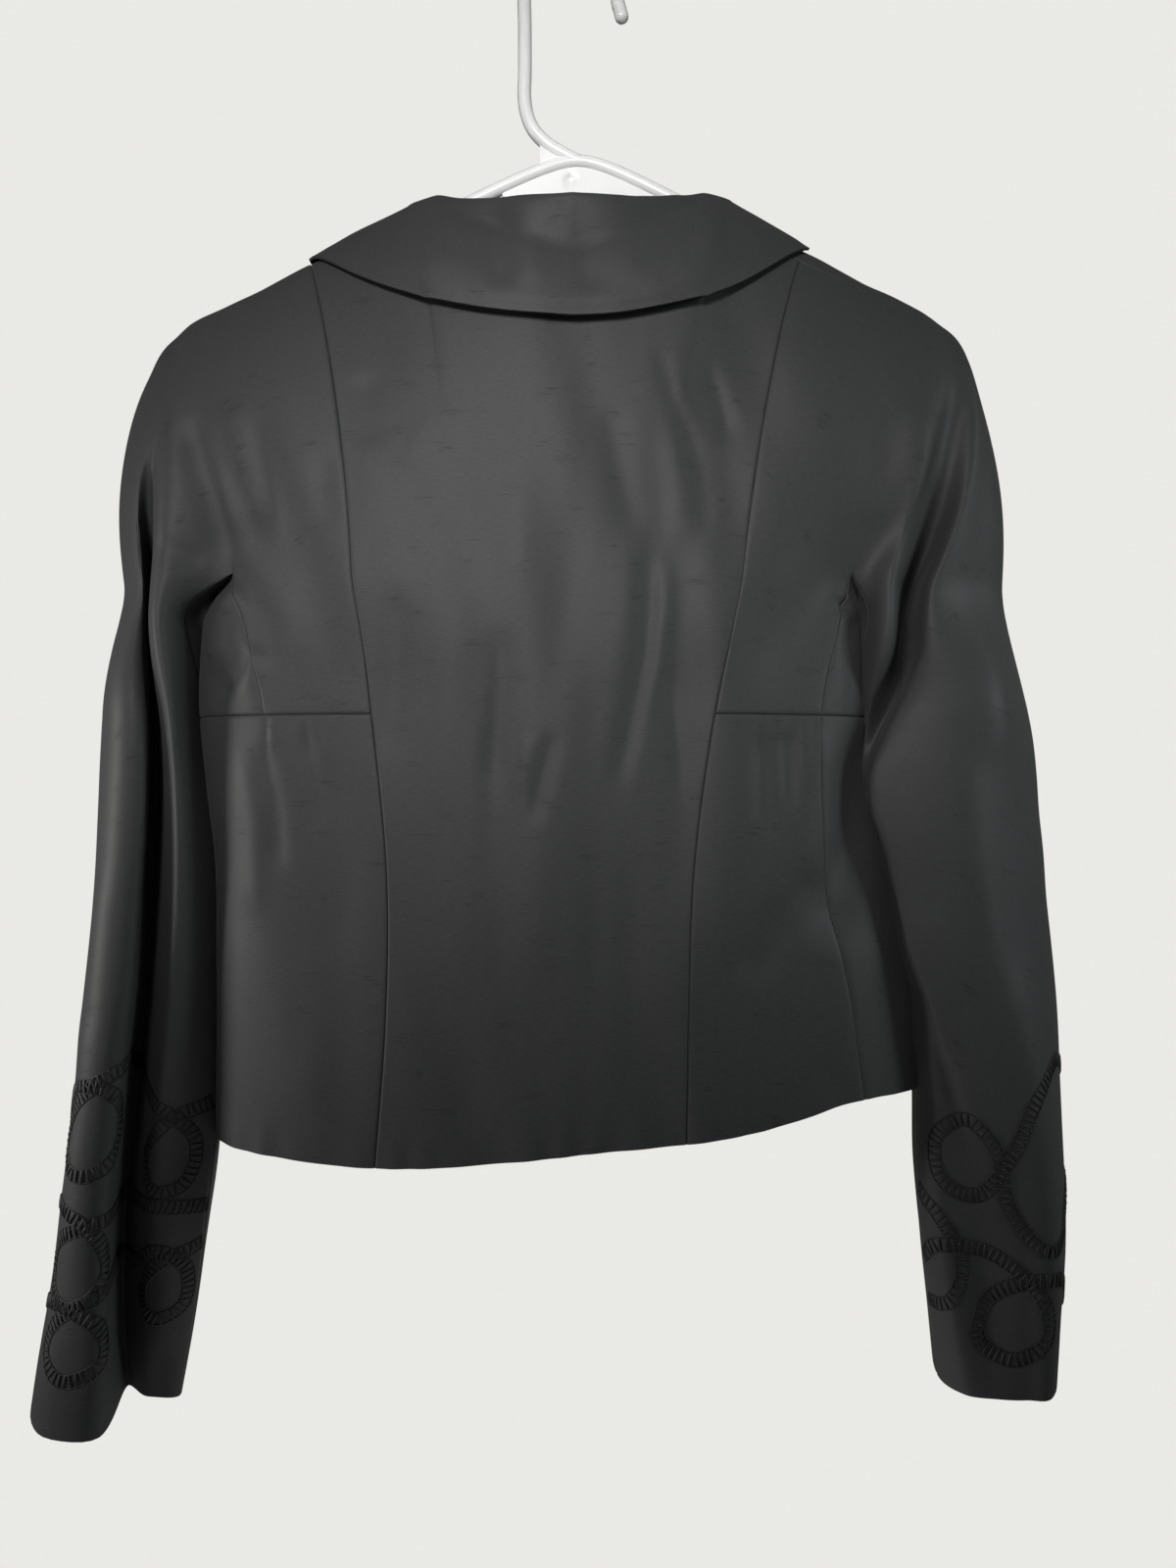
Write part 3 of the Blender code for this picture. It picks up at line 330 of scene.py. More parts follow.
def grid_cells(index):
    """Cells of a grid of point numbers, along its last two axes, as rows of four."""
    return np.stack([index[..., :-1, :-1], index[..., :-1, 1:], index[..., 1:, 1:], index[..., 1:, :-1]],
                    axis=-1).reshape(-1, 4)


def wrapped(index, axis):
    """A grid closed on itself: its first row or column comes again after its last."""
    return np.concatenate([index, np.take(index, [0], axis)], axis)


def run_along(grid):
    """Length along each row of a grid from its first column, summed over the steps."""
    step = np.linalg.norm(np.diff(grid, axis=-2), axis=-1)
    return np.concatenate([np.zeros((*step.shape[:-1], 1)), np.cumsum(step, axis=-1)], axis=-1)


def run_back(grid):
    """Length along each row of a grid, counted from 0 in its last column."""
    length = run_along(grid)
    return length - length[:, -1:]


def run_down(grid):
    """Height along each column of a grid, measured on the cloth up from its last row."""
    return run_along(np.swapaxes(grid, 0, 1)[:, ::-1])[:, ::-1].T


def arm_z(across, sign):
    """Height of the hanger arm's axis at a distance from its apex: a hyperbola, rounded at the apex."""
    return ARM_APEX_Z - (np.sqrt((ARM_SLOPES[sign] * across) ** 2 + ARM_ROUNDING ** 2) - ARM_ROUNDING)


def shoulder_z(side, x):
    """Height of the cloth's shoulder line: it rests on the arm and falls away past the arm's tip."""
    rest = arm_z(x + side["sign"] * -ARM_APEX_X, side["sign"]) + ARM_TO_CLOTH
    return rest - TIP_FALL * np.maximum(0.0, x - side["tip_x"]) ** 2


def top_line(side, k):
    """Neck seam from the centre back to the shoulder, a quarter of a pointed oval, then the shoulder line."""
    neck_x = side["lines"][FRONT_EDGE][1]
    widths = [neck_x] + [line[1] for line in side["lines"][1:OUTER_EDGE + 1]]
    place = np.select([k < 1.0, k < OUTER_EDGE], [2.0 * k - 1.0, k], FRONT_EDGE - k)
    x = smooth_through(range(len(widths)), widths, np.clip(place, 0.0, OUTER_EDGE))
    z = shoulder_z(side, x)
    turn = np.clip(k, 0.0, 0.5) * math.pi
    neck_z = shoulder_z(side, np.float64(neck_x))
    on_neck = k < 0.5
    back = np.maximum(np.cos(turn), 0.0)
    x = np.where(on_neck, neck_x * np.sin(turn) ** NECK_OVAL, x)
    y = np.where(on_neck, NECK_BACK_Y * back ** NECK_OVAL, 0.0)
    z = np.where(on_neck, NECK_BACK_Z + (neck_z - NECK_BACK_Z) * (1.0 - back ** NECK_DIP), z)
    return x, y, z


def upper(side, k, fall):
    """Upper garment: each line k falls from the shoulder line (fall 0) to the underarm row (fall 1)
    and straight on below it. Its x runs between the two lines and bows out; its y grows with the
    square root of the fall, which rounds the shoulder, and bends to its own underarm depth."""
    k, fall = both(k, fall)
    end_x, end_y, rise, bow = (column_at(side["lines"], i, k, i in (3, 4)) for i in (2, 3, 4, 5))
    top_x, top_y, top_z = top_line(side, k)
    chest = np.where(k < 1.0, NECK_BACK_Y * (1.0 - smoothstep(k)), 0.0)
    top_y = top_y + (chest - top_y) * np.sqrt(np.clip(fall / NECK_FADE, 0.0, 1.0))
    above = np.maximum(fall, 0.0)
    below = BOW_BELOW * (np.exp(-BOW_FADE * np.maximum(fall - 1.0, 0.0)) - 1.0)
    hump = np.where(fall < 1.0, 4.0 * above ** BOW_RISE * (1.0 - fall), below)
    x = top_x + (end_x - top_x) * fall + bow * hump
    bend = fall ** 2 * smoothstep((fall - ROUND_SHARE) / (1.0 - ROUND_SHARE))
    y = top_y + rise * np.sqrt(above) + (end_y - top_y - rise) * bend
    z = top_z + (UNDERARM_Z - top_z) * fall
    return np.stack([x, y, z], axis=-1)


def fall_at(side, k, z):
    """The fall at which line k reaches level z."""
    top_z = top_line(side, np.asarray(k, float))[2]
    return (z - top_z) / (UNDERARM_Z - top_z)


def upper_at(side, k, z):
    """The upper garment's point on line k at level z."""
    return upper(side, k, fall_at(side, k, z))


def front_edge_x(side, z):
    """The front edge runs from the neck to the break point, then down past the centre line."""
    slope = side["lines"][FRONT_EDGE][1] / (BREAK_Z - FRONT_EDGE_TOP_Z)
    low = smooth_through([HEM_LOWEST_Z, OVERLAP_FULL_Z, OVERLAP_START_Z, BREAK_Z, UNDERARM_Z],
                         [-OVERLAP_WIDTH, -OVERLAP_WIDTH, OVERLAP_START_X, 0.0,
                          slope * (BREAK_Z - UNDERARM_Z)], z)
    return np.where(z > UNDERARM_Z, slope * (BREAK_Z - z), low)


def body_ring(side, t, z):
    """Body section: an oval with squared corners. Station t: 0 centre back, 1 princess seam, 2 side line,
    3 side, 4 its mirror in front, 5 breast, 6 front edge. Between 2 and 4 it follows the oval's angle."""
    t, z = both(t, z)
    half, back, front = (column_at(BODY_SECTIONS, i, z) for i in (side["column"], 3, 4))
    princess, line = (column_at(BODY_SEAMS, side["column"] + i, z) for i in (0, 2))
    n = BODY_SQUARENESS
    start = np.arccos(np.clip(line / half, 0.0, 1.0) ** (n / 2))
    angle = start * (3.0 - np.clip(t, 2.0, 4.0))
    breast = BREAST_SHARE * line
    x = np.select(
        [t <= 1, t <= 2, t <= 4, t <= 5],
        [princess * t, princess + (line - princess) * (t - 1), half * np.cos(angle) ** (2 / n),
         line + (breast - line) * (t - 4)],
        breast + (front_edge_x(side, z) - breast) * (t - 5))
    flat = (1.0 - np.minimum(1.0, np.abs(x) / half) ** n) ** (1 / n)
    turned = np.sign(angle) * np.abs(np.sin(angle)) ** (2 / n)
    depth = np.where(t <= 2, flat, np.where(t >= 4, -flat, turned))
    y = depth * np.where(depth > 0, back, front)
    return np.stack([x, y, z], axis=-1)


def sleeve_ring(side, phi, z):
    """Sleeve section: a smooth closed curve. Station phi: 0 inner edge, 1 inner crest, 2 groove,
    3 to 3.5 outer crest, 4 outer edge, 5 to 7 the front, 8 the inner edge again."""
    phi, z = both(phi, z)
    outer, front, *folds = (column_at(side["sleeve"], i, z) for i in range(1, 13))
    inner, lobe_y = folds[0], folds[9]
    ring = list(zip(folds[0::2], folds[1::2])) + [(outer, 0.5 * (lobe_y + front))]
    ring += [((1.0 - share) * inner + share * outer, front + inset) for share, inset in SLEEVE_FRONT]
    phi = np.interp(phi, (0, 3, 4, 8), (0, 3, 5, 9))
    cell = np.floor(phi).astype(int)
    axes = [np.stack(axis) for axis in zip(*ring)]
    place = [np.zeros(phi.shape), np.zeros(phi.shape)]
    for offset, weight in enumerate(cubic_weights(phi - cell)):
        pick = (cell + offset - 1) % len(ring)
        for total, axis in zip(place, axes):
            total += weight * np.take_along_axis(axis, pick[None], axis=0)[0]
    return np.stack([*place, z], axis=-1)


def saddle(side, w, z, widening):
    """Underarm arch between the back valley (w -1) and the front valley (w 1): it bows outwards and sags."""
    w, z = both(w, z)
    back, front = (upper_at(side, np.full(w.shape, float(k)), z) for k in (VALLEY, FRONT_VALLEY))
    point = back + (front - back) * (0.5 + 0.5 * w)[..., None]
    arch = (1.0 - w ** 2) ** 2
    bow = column_at(BODY_SECTIONS, side["column"], UNDERARM_Z) - side["lines"][VALLEY][2] + 1.0
    point[..., 0] += arch * (bow + widening * (UNDERARM_Z - z))
    point[..., 2] -= arch * SADDLE_SAG
    return point


def blend_share(z, closeness):
    """How far a level is on its way from the upper lines to the sections below: a soft S, and near the
    slit (closeness 1) a quick start, so that the slit opens at once."""
    depth = UNDERARM_Z - z
    soft = smoothstep(depth / BLEND_DEPTH)
    quick = 1.0 - (1.0 - np.clip(depth / SLIT_DEPTH, 0.0, 1.0)) ** 2
    return (soft + (quick - soft) * closeness)[..., None]


def torso(side, t, z):
    """Below the underarm row the upper lines blend into the body's sections."""
    t, z = both(t, z)
    above = upper_at(side, np.where(t <= 2, t, np.clip(t + 6.0, 10.0, 12.0)), z)
    arch = saddle(side, np.clip(t - 3.0, -1.0, 1.0), z, -ARCH_WIDENING)
    above = np.where(((t > 2) & (t < 4))[..., None], arch, above)
    blend = blend_share(z, np.clip(np.minimum(t - 1.0, 5.0 - t), 0.0, 1.0) ** 3)
    return above * (1 - blend) + body_ring(side, t, z) * blend


def sleeve(side, k, z):
    """Below the underarm row the upper lines blend into the sleeve's sections. Stations 2 to 10 run from
    the back valley round the outer edge to the front valley; -1 to 1 is the gusset's side."""
    k, z = both(k, z)
    gusset = 0.5 * (1.0 - smoothstep((UNDERARM_Z - z) / (UNDERARM_Z - GUSSET_END_Z)))
    on_gusset = k <= 1.0
    back, front = gusset + (1 - gusset) * (k - 2), 7 + (1 - gusset) * (k - 9)
    phi = np.select([on_gusset, k < 3, k > 9], [(-k * gusset) % 8.0, back, front], k - 2.0)
    arch = saddle(side, np.clip(k, -1.0, 1.0), z, ARCH_WIDENING)
    above = np.where(on_gusset[..., None], arch, upper_at(side, np.clip(k, 2.0, 10.0), z))
    blend = blend_share(z, np.clip(0.5 * np.maximum(4.0 - k, k - 8.0), 0.0, 1.0))
    return above * (1 - blend) + sleeve_ring(side, phi, z) * blend


# Fine grids: how far from a seam the cells beside it reach
SEAM_STEPS = (0.0, 0.8, 1.9, 3.3)


def spread(*spans):
    """Stations over spans of (start, end, length in mm, seam at the start, seam at the end): cells of
    about CELL, and closer ones beside a seam."""
    values = []
    for start, end, length, seam_start, seam_end in spans:
        low, high = (SEAM_STEPS if seam else (0.0,) for seam in (seam_start, seam_end))
        open_length = length - low[-1] - high[-1]
        inner = np.linspace(low[-1], length - high[-1], max(2, round(open_length / CELL) + 1))
        lengths = np.unique(np.concatenate([low, inner, [length - step for step in high]]))
        values.append(start + (end - start) * lengths / length)
    stations = np.sort(np.concatenate(values))
    return stations[np.concatenate([[True], np.diff(stations) > 1e-6])]


BACK_SPANS = ((0, 0.5, 58, 0, 1), (0.5, 1, 58, 1, 1), (1, 2, 66, 1, 1))
BACK_K = spread(*BACK_SPANS, (2, 3, 40, 1, 0), (3, 4, 56, 0, 0), (4, 5, 46, 0, 0), (5, 6, 40, 0, 1))
FRONT_K = spread((6, 7, 34, 1, 0), (7, 8, 34, 0, 0), (8, 9, 34, 0, 0), (9, 10, 34, 0, 1), (10, 11, 66, 1, 0),
                 (11, 12, 90, 0, 1))
AROUND = spread(*BACK_SPANS, (2, 3, 44, 1, 1), (3, 4, 44, 1, 1), (4, 5, 66, 1, 0), (5, 6, 90, 0, 1))
GUSSET_K = spread((-1, 0, 44, 1, 1), (0, 1, 44, 1, 1))
UPPER_ROWS = spread((0, 0.24, 40, 1, 1), (0.24, 1, 150, 1, 0))


class Garment:
    """The garment's surface as grid blocks, welded into one sheet; each cell belongs to a piece."""

    def __init__(self):
        self.points, self.weave, self.zone, self.quads, self.labels = [], [], [], [], []
        self.names = []
        self.count = 0
        self.blocks = {}

    def add(self, name, grid, weave, zone, label, flip):
        """Adds a block: label is its one piece, or gives each cell's piece by its row and column number."""
        rows, columns = grid.shape[:2]
        index = self.count + grid_numbers(rows, columns)
        quads = grid_cells(index)
        self.quads.append(quads[:, ::-1] if flip else quads)
        row, column = (number.ravel() for number in np.indices((rows - 1, columns - 1)))
        numbers = np.zeros(row.size, int)
        for piece, where in [(label, row >= 0)] if isinstance(label, str) else label(row, column):
            if piece not in self.names:
                self.names.append(piece)
            numbers[where] = self.names.index(piece)
        self.labels.append(numbers)
        self.points.append(grid.reshape(-1, 3))
        self.weave.append(weave.reshape(-1, 2))
        self.zone.append(np.full(rows * columns, zone))
        self.blocks[name] = index
        self.count += rows * columns

    def weld(self):
        """Merges points that coincide, by their rounded places."""
        points = np.concatenate(self.points)
        keys = np.floor(points / WELD_CELL + WELD_SHIFT).astype(np.int64)
        code = (keys[:, 0] * WELD_PRIMES[0] + keys[:, 1]) * WELD_PRIMES[1] + keys[:, 2]
        _, first, place = np.unique(code, return_index=True, return_inverse=True)
        self.points = points[first]
        self.weave = np.concatenate(self.weave)[first]
        self.zone = np.concatenate(self.zone)[first]
        self.quads = place[np.concatenate(self.quads)]
        self.labels = np.concatenate(self.labels)
        self.blocks = {name: place[index] for name, index in self.blocks.items()}


def normals_of(points, quads):
    """Unit normals at the points: the sum of the normals of the cells round each."""
    flat = np.cross(points[quads[:, 2]] - points[quads[:, 0]], points[quads[:, 3]] - points[quads[:, 1]])
    total = [np.bincount(quads.ravel(), np.repeat(flat[:, axis], 4), len(points)) for axis in range(3)]
    return unit(np.stack(total, axis=-1))


def overlap_lift(side, points):
    """How far the outer front edge stands off, so that it lies over the other front below the break."""
    near_edge = smoothstep((OVERLAP_BLEND - points[..., 0]) / OVERLAP_BLEND)
    low = smoothstep((OVERLAP_TOP_Z - points[..., 2]) / OVERLAP_FADE)
    return np.where(points[..., 1] < 0.0, side["front_lift"] * near_edge * low, 0.0)


def hem_z(x):
    """Height of the hem at a place across the garment, the wearer's left positive."""
    return column_at(HEM_HEIGHTS, 1, x)


UPPER_ZONE, BODY_ZONE, SLEEVE_ZONE = 0, 1, 2


def cut_at(stations, breaks, pieces):
    """The cells that each piece takes along a row of stations cut at the breaks."""
    part = np.searchsorted(np.array(breaks) - 0.001, stations)
    return [(piece, part == number) for number, piece in enumerate(pieces)]


def add_side(garment, name):
    """All blocks of one side, in fine grid rows from the shoulder down."""
    side = SIDES[name]
    sign = side["sign"]
    parts = ("kimono_back_", "front_", "gusset_", "side_back_")
    kimono, front, gusset, side_back = (part + name for part in parts)

    def add(block, grid, across, down, zone, label, lift=False):
        """Adds a block on this side; its weave is read by the lengths across and down."""
        grid = grid.copy()
        if lift:
            grid[..., 1] -= overlap_lift(side, grid)
        grid[..., 0] *= sign
        weave = np.stack([sign * across, np.broadcast_to(down, across.shape)], axis=-1)
        garment.add(block + name, grid, weave, zone, label, sign < 0)

    def both_ways(grid):
        """Length along body rows: from the centre back up to the side, and from the front edge beyond it."""
        return np.where(AROUND[None, :] <= 3.0, run_along(grid), run_back(grid))

    def upper_label(i, j):
        """The front reaches over the shoulder as far as the seam's row."""
        k = BACK_K[j]
        on_front = (UPPER_ROWS[i] < side["seam_row"] - 0.002) & (k > 0.499)
        centre = (k < 0.999) & ~on_front
        return [("back_centre", centre), (front, on_front), (kimono, ~centre & ~on_front)]

    falls = (UPPER_ROWS ** 2)[:, None]
    back, fore = upper(side, BACK_K, falls), upper(side, FRONT_K, falls)
    across_back, across_front = run_along(back), run_back(fore)
    add("upper_back_", back, across_back, UNDERARM_Z + run_down(back), UPPER_ZONE, upper_label)
    add("upper_front_", fore, across_front, UNDERARM_Z + run_down(fore), UPPER_ZONE, front, True)

    arm_levels = spread((UNDERARM_Z, WAIST_SEAM_Z, 72, 0, 1))[::-1][:, None]
    yoke = torso(side, AROUND, arm_levels)
    add("yoke_", yoke, both_ways(yoke), arm_levels, BODY_ZONE,
        lambda i, j: cut_at(AROUND[j], (1, 2, 4), ("back_centre", kimono, gusset, front)), True)

    hem = hem_z(sign * torso(side, AROUND, HEM_NOMINAL_Z)[..., 0])
    levels = WAIST_SEAM_Z + (hem[None, :] - WAIST_SEAM_Z) * spread((0, 1, 222, 1, 1))[:, None]
    lower = torso(side, AROUND, levels)
    add("lower_", lower, both_ways(lower), levels, BODY_ZONE,
        lambda i, j: cut_at(AROUND[j], (1, side["side_station"]), ("back_centre", side_back, front)), True)

    gusset_rows = spread((UNDERARM_Z, GUSSET_END_Z, 106, 0, 1))[::-1]
    cuff = side["sleeve"][-1][0]
    below = spread((GUSSET_END_Z, cuff, GUSSET_END_Z - cuff, 0, 1))[::-1]
    sleeve_rows = np.concatenate([gusset_rows, below[1:]])[:, None]
    arm_back = sleeve(side, BACK_K[BACK_K > 1.999], sleeve_rows)
    start = across_back[-1, np.argmin(np.abs(BACK_K - 2.0))]
    add("sleeve_back_", arm_back, run_along(arm_back) + start, sleeve_rows, SLEEVE_ZONE, kimono)
    arm_front = sleeve(side, FRONT_K[FRONT_K < 10.001], sleeve_rows)
    finish = across_front[-1, np.argmin(np.abs(FRONT_K - 10.0))]
    add("sleeve_front_", arm_front, run_back(arm_front) + finish, sleeve_rows, SLEEVE_ZONE, front)
    piece = sleeve(side, GUSSET_K[::-1], gusset_rows[:, None])
    add("gusset_", piece, run_along(piece), gusset_rows[:, None], SLEEVE_ZONE, gusset)


# Folds on the back by zone: depth (troughs are negative), half width, then x and z of its places
BACK_FOLDS = {
    "any": (
        (-2.6, 9, 193, -258, 185, -288, 175, -317, 168, -334), (1.6, 9, 176, -250, 167, -290, 156, -320),
        (-1.4, 6, 160, -258, 150, -300, 147, -330),
        (-3.6, 8, -203, -240, -191, -276, -182, -298, -171, -319, -164, -338),
        (1.5, 9, -178, -252, -166, -290, -150, -318),
    ),
    "body": (
        (-1.4, 5, -67, -236, -74, -256, -79, -279), (-1, 5, -55, -262, -63, -288, -67, -325),
        (0.8, 6, -48, -270, -53, -300, -54, -330), (-2.2, 17, -34, -250, -46, -331, -51, -426, -42, -545),
        (1.2, 15, 18, -240, 21, -350, 18, -545), (1.1, 13, -70, -340, -77, -446, -72, -545),
        (-0.8, 9, 36, -400, 32, -493, 40, -560), (-0.7, 8, -12, -380, -8, -474, -14, -560),
        (0.7, 9, 60, -290, 64, -420, 62, -560), (-1.8, 5.5, 155, -424, 149, -454, 147, -492),
        (1.5, 8, 165, -426, 160, -465, 160, -515), (-1, 5, -94, -420, -99, -474),
        (-0.8, 4, -108, -420, -110, -450), (-5.5, 13, -154, -416, -142, -475, -124, -530),
        (1.4, 12, -128, -414, -112, -470, -98, -516), (-2.6, 9, -124, -486, -103, -516, -84, -545),
        (1, 10, -160, -520, -140, -556, -124, -590), (-1, 9, 120, -430, 112, -480, 116, -540),
        (0.8, 10, 130, -520, 126, -570, 130, -612),
        (3.6, 6.5, 162, -347, 170, -350, 178, -354, 182, -366, 182, -388),
        (-2.2, 5, 165, -376, 167, -386, 171, -394, 184, -401),
        (1.7, 6, 158, -376, 159, -383, 164, -394, 172, -399), (-2.4, 2.2, -137, -352, -141, -357),
        (1.5, 2.3, -132, -352, -137, -348, -143, -352, -147, -362), (-1.8, 2, -143, -362, -146, -368),
        (-2.6, 4, -143, -353, -150, -362, -154, -380, -155, -405), (1, 4, -134, -355, -135, -380, -136, -409),
        (-1.3, 3.4, -42, -228, -46, -242, -54, -265, -63, -287), (0.7, 3.4, -50, -244, -57, -262, -64, -278),
        (-1.1, 3, -66, -234, -72, -248, -79, -275),
        (-1.9, 5.5, -37, -326, -37.5, -357, -35.5, -383, -29, -417, -22, -450),
        (1.1, 4.5, -46, -335, -46.5, -360, -44, -385, -39, -412),
        (-1.2, 3.2, -49, -388, -51, -417, -55, -448), (-1.4, 4, 8, -419, 13, -439, 19, -466),
        (0.8, 4.5, 20, -422, 26, -450), (-1.5, 7.5, 87, -345, 86, -391, 89, -438),
        (-1.3, 5.5, 35, -366, 34, -400, 40, -448), (-1.3, 6.5, -17, -258, -25, -297, -33, -325),
        (-1.2, 3.6, -93, -416, -94, -440, -93, -468), (-1.1, 3.4, -105, -416, -107, -436, -108, -460),
        (-1.3, 4.2, 133, -416, 129, -440, 124, -470), (-1.2, 6.5, 124, -280, 122, -300, 120, -320),
        (-1.4, 8, 103, -240, 104, -258, 98, -280), (0.8, 7, 70, -262, 76, -290, 72, -320),
    ),
    "sleeve": (
        (-1.5, 5, 212, -326, 200, -328, 186, -334), (-1.2, 4, 190, -541, 181, -547, 173, -544),
        (1.5, 7, -190, -425, -201, -462, -206, -500, -212, -545),
        (-1.3, 8, -205, -410, -214, -455, -219, -510, -226, -560),
        (-1.4, 6, -178, -470, -176, -495, -182, -515), (-1.2, 4.5, -186, -482, -195, -512, -200, -530),
        (-1, 10, -230, -360, -234, -430, -238, -500), (0.9, 10, -238, -560, -236, -640, -240, -720),
        (1.3, 5, -181, -560, -179, -632, -181, -710), (-1.2, 7, -192, -575, -190, -640, -192, -700),
        (-1, 8, 240, -370, 236, -440, 239, -510), (1, 8, 250, -560, 246, -600, 252, -650),
        (-1.2, 8, 206, -570, 203, -610, 207, -660), (1, 8, 214, -660, 212, -700, 216, -750),
    ),
}

# Folds on the collar
COLLAR_FOLDS = {
    "any": (
        (-1.6, 7, 40, -152, 36, -180, 33, -206), (1, 8, 22, -156, 19, -205),
        (-1.5, 9, 0, -154, -6, -180, -9, -208), (0.9, 9, -27, -158, -31, -205),
        (-1.1, 7, -56, -156, -62, -192), (-1, 8, 78, -150, 70, -188),
    ),
}

# Folds on the hidden front, of the same kind
FRONT_FOLDS = {
    "any": (
        (-2.6, 9, 192, -262, 185, -290, 176, -315, 168, -334),
        (-2.6, 9, -192, -262, -186, -285, -174, -315, -160, -336),
    ),
    "body": (
        (-1.6, 9, 120, -250, 112, -300, 108, -350), (-1.5, 9, -112, -250, -104, -300, -98, -345),
        (-1.5, 13, 70, -420, 64, -500, 70, -590), (1.2, 13, 100, -400, 104, -480, 98, -580),
        (-1.5, 12, -66, -420, -60, -500, -64, -590), (1.2, 12, -98, -400, -94, -490, -100, -590),
        (-2.2, 10, -146, -420, -132, -480, -116, -530), (-2, 9, 160, -424, 148, -480, 138, -540),
    ),
    "sleeve": (
        (-1.6, 9, 218, -380, 224, -450, 232, -520), (-1.6, 9, -204, -390, -214, -460, -226, -540),
        (1.2, 9, -228, -600, -222, -660, -226, -730), (1.2, 9, 246, -590, 240, -650, 248, -730),
    ),
}


# A fold ends at this many half widths; the share of its length that fades, and its start in that fade
FOLD_REACH = 3.2
FOLD_FADE = 0.25
FOLD_END = 0.15


def fold_height(points, zones, table):
    """Height of the folds at points: each fold is a soft ridge or trough along its line, a bell curve of
    the distance from it, that fades out over the last part at both ends."""
    height = np.zeros(len(points))
    place = points[:, (0, 2)]
    for zone, depth, width, *line in [(zone, *row) for zone, rows in table.items() for row in rows]:
        line = np.array(line, float).reshape(-1, 2)
        reach = FOLD_REACH * width
        near = ((place > line.min(axis=0) - reach) & (place < line.max(axis=0) + reach)).all(axis=1)
        if zone != "any":
            near &= zones != (SLEEVE_ZONE if zone == "body" else BODY_ZONE)
        spot = place[near]
        lengths = np.linalg.norm(np.diff(line, axis=0), axis=1)
        nearest = np.full(len(spot), np.inf)
        along = np.zeros(len(spot))
        done = 0.0
        for start, end, length in zip(line[:-1], line[1:], lengths):
            share = np.clip((spot - start) @ (end - start) / length ** 2, 0.0, 1.0)
            distance = np.linalg.norm(spot - start - share[:, None] * (end - start), axis=1)
            closer = distance < nearest
            nearest = np.where(closer, distance, nearest)
            along = np.where(closer, (done + share * length) / lengths.sum(), along)
            done += length
        ends = [smoothstep(share / FOLD_FADE + FOLD_END) for share in (along, 1.0 - along)]
        height[near] += depth * bell(nearest, width) * ends[0] * ends[1]
    return height


# Long waves of the hung cloth: height, length, lean, phase
WAVES = ((0.46, 71, 0.18, 0.4), (0.34, 47, -0.22, 2.1), (0.30, 118, 0.5, 4), (0.14, 31, -0.1, 1.2),
         (0.06, 19, 0.12, 0.7))


def waves(points):
    """Soft unevenness of hung cloth: a sum of long waves, each with its own length, way and phase."""
    x, y, z = points.T
    total = 0.0
    for height, length, lean, phase in WAVES:
        sway = 1.3 * np.sin(z / WAVE_SWAY + phase)
        total = total + height * np.sin(2 * math.pi * (x + 0.6 * y + lean * z) / length + phase + sway)
    return total


# Puckers: height, reach and spacing; along the waist seam also their start, its fade, their end, its fade
WAIST_PUCKER = (0.55, 9.0, 9.0)
HEM_PUCKER = (0.35, 14.0, 21.0)
WAIST_PUCKERED = ((112.0, 14.0, 160.0, 12.0), (-132.0, 12.0, -76.0, 12.0))


def puckers(points, zones):
    """Small short folds: under the waist seam on the side panels, and along the hem."""
    x, _, z = points.T
    height, reach, spacing = WAIST_PUCKER
    where = sum(smoothstep((x - start) / fade) * smoothstep((end - x) / end_fade)
                for start, fade, end, end_fade in WAIST_PUCKERED)
    where *= bell(z - WAIST_SEAM_Z + reach, reach) * (z < WAIST_SEAM_Z + 2.0)
    waist = height * where * np.sin(2 * math.pi * x / spacing + 1.4 * np.sin(x / 5.0))
    height, reach, spacing = HEM_PUCKER
    hem = height * bell(z - hem_z(x), reach) * np.sin(2 * math.pi * x / spacing + 1.7 * np.sin(x / 13.0))
    return np.where(zones == SLEEVE_ZONE, 0.0, waist + hem)


# How deep a seam is pinched in, on it and beside it; the calm round a shoulder's end
SEAM_DIP = 0.55
SEAM_SHOULDER = 0.12
CALM_RADIUS = 3.0
CALM_FADE = 13.0


def seam_dip(quads, labels, count):
    """How far the cloth is pinched in at each point: most on a seam, a little in the next ring of points."""
    low = np.full(count, len(labels))
    high = np.full(count, -1)
    np.minimum.at(low, quads.ravel(), np.repeat(labels, 4))
    np.maximum.at(high, quads.ravel(), np.repeat(labels, 4))
    on_seam = low != high
    beside = np.zeros(count, bool)
    beside[quads[on_seam[quads].any(axis=1)].ravel()] = True
    return np.select([on_seam, beside], [SEAM_DIP, SEAM_SHOULDER], 0.0)


def shoulder_calm(points):
    """0 at both shoulders' outer ends, where the cloth turns too tightly for folds, and 1 from 16 mm on."""
    calm = np.ones(len(points))
    for side in SIDES.values():
        x, y, z = (float(value) for value in top_line(side, np.float64(OUTER_EDGE)))
        distance = np.linalg.norm(points - (side["sign"] * x, y, z), axis=1)
        calm *= smoothstep((distance - CALM_RADIUS) / CALM_FADE)
    return calm


# Folds show where the cloth faces their way by this much
FACING_START = 0.15
FACING_FADE = 0.5


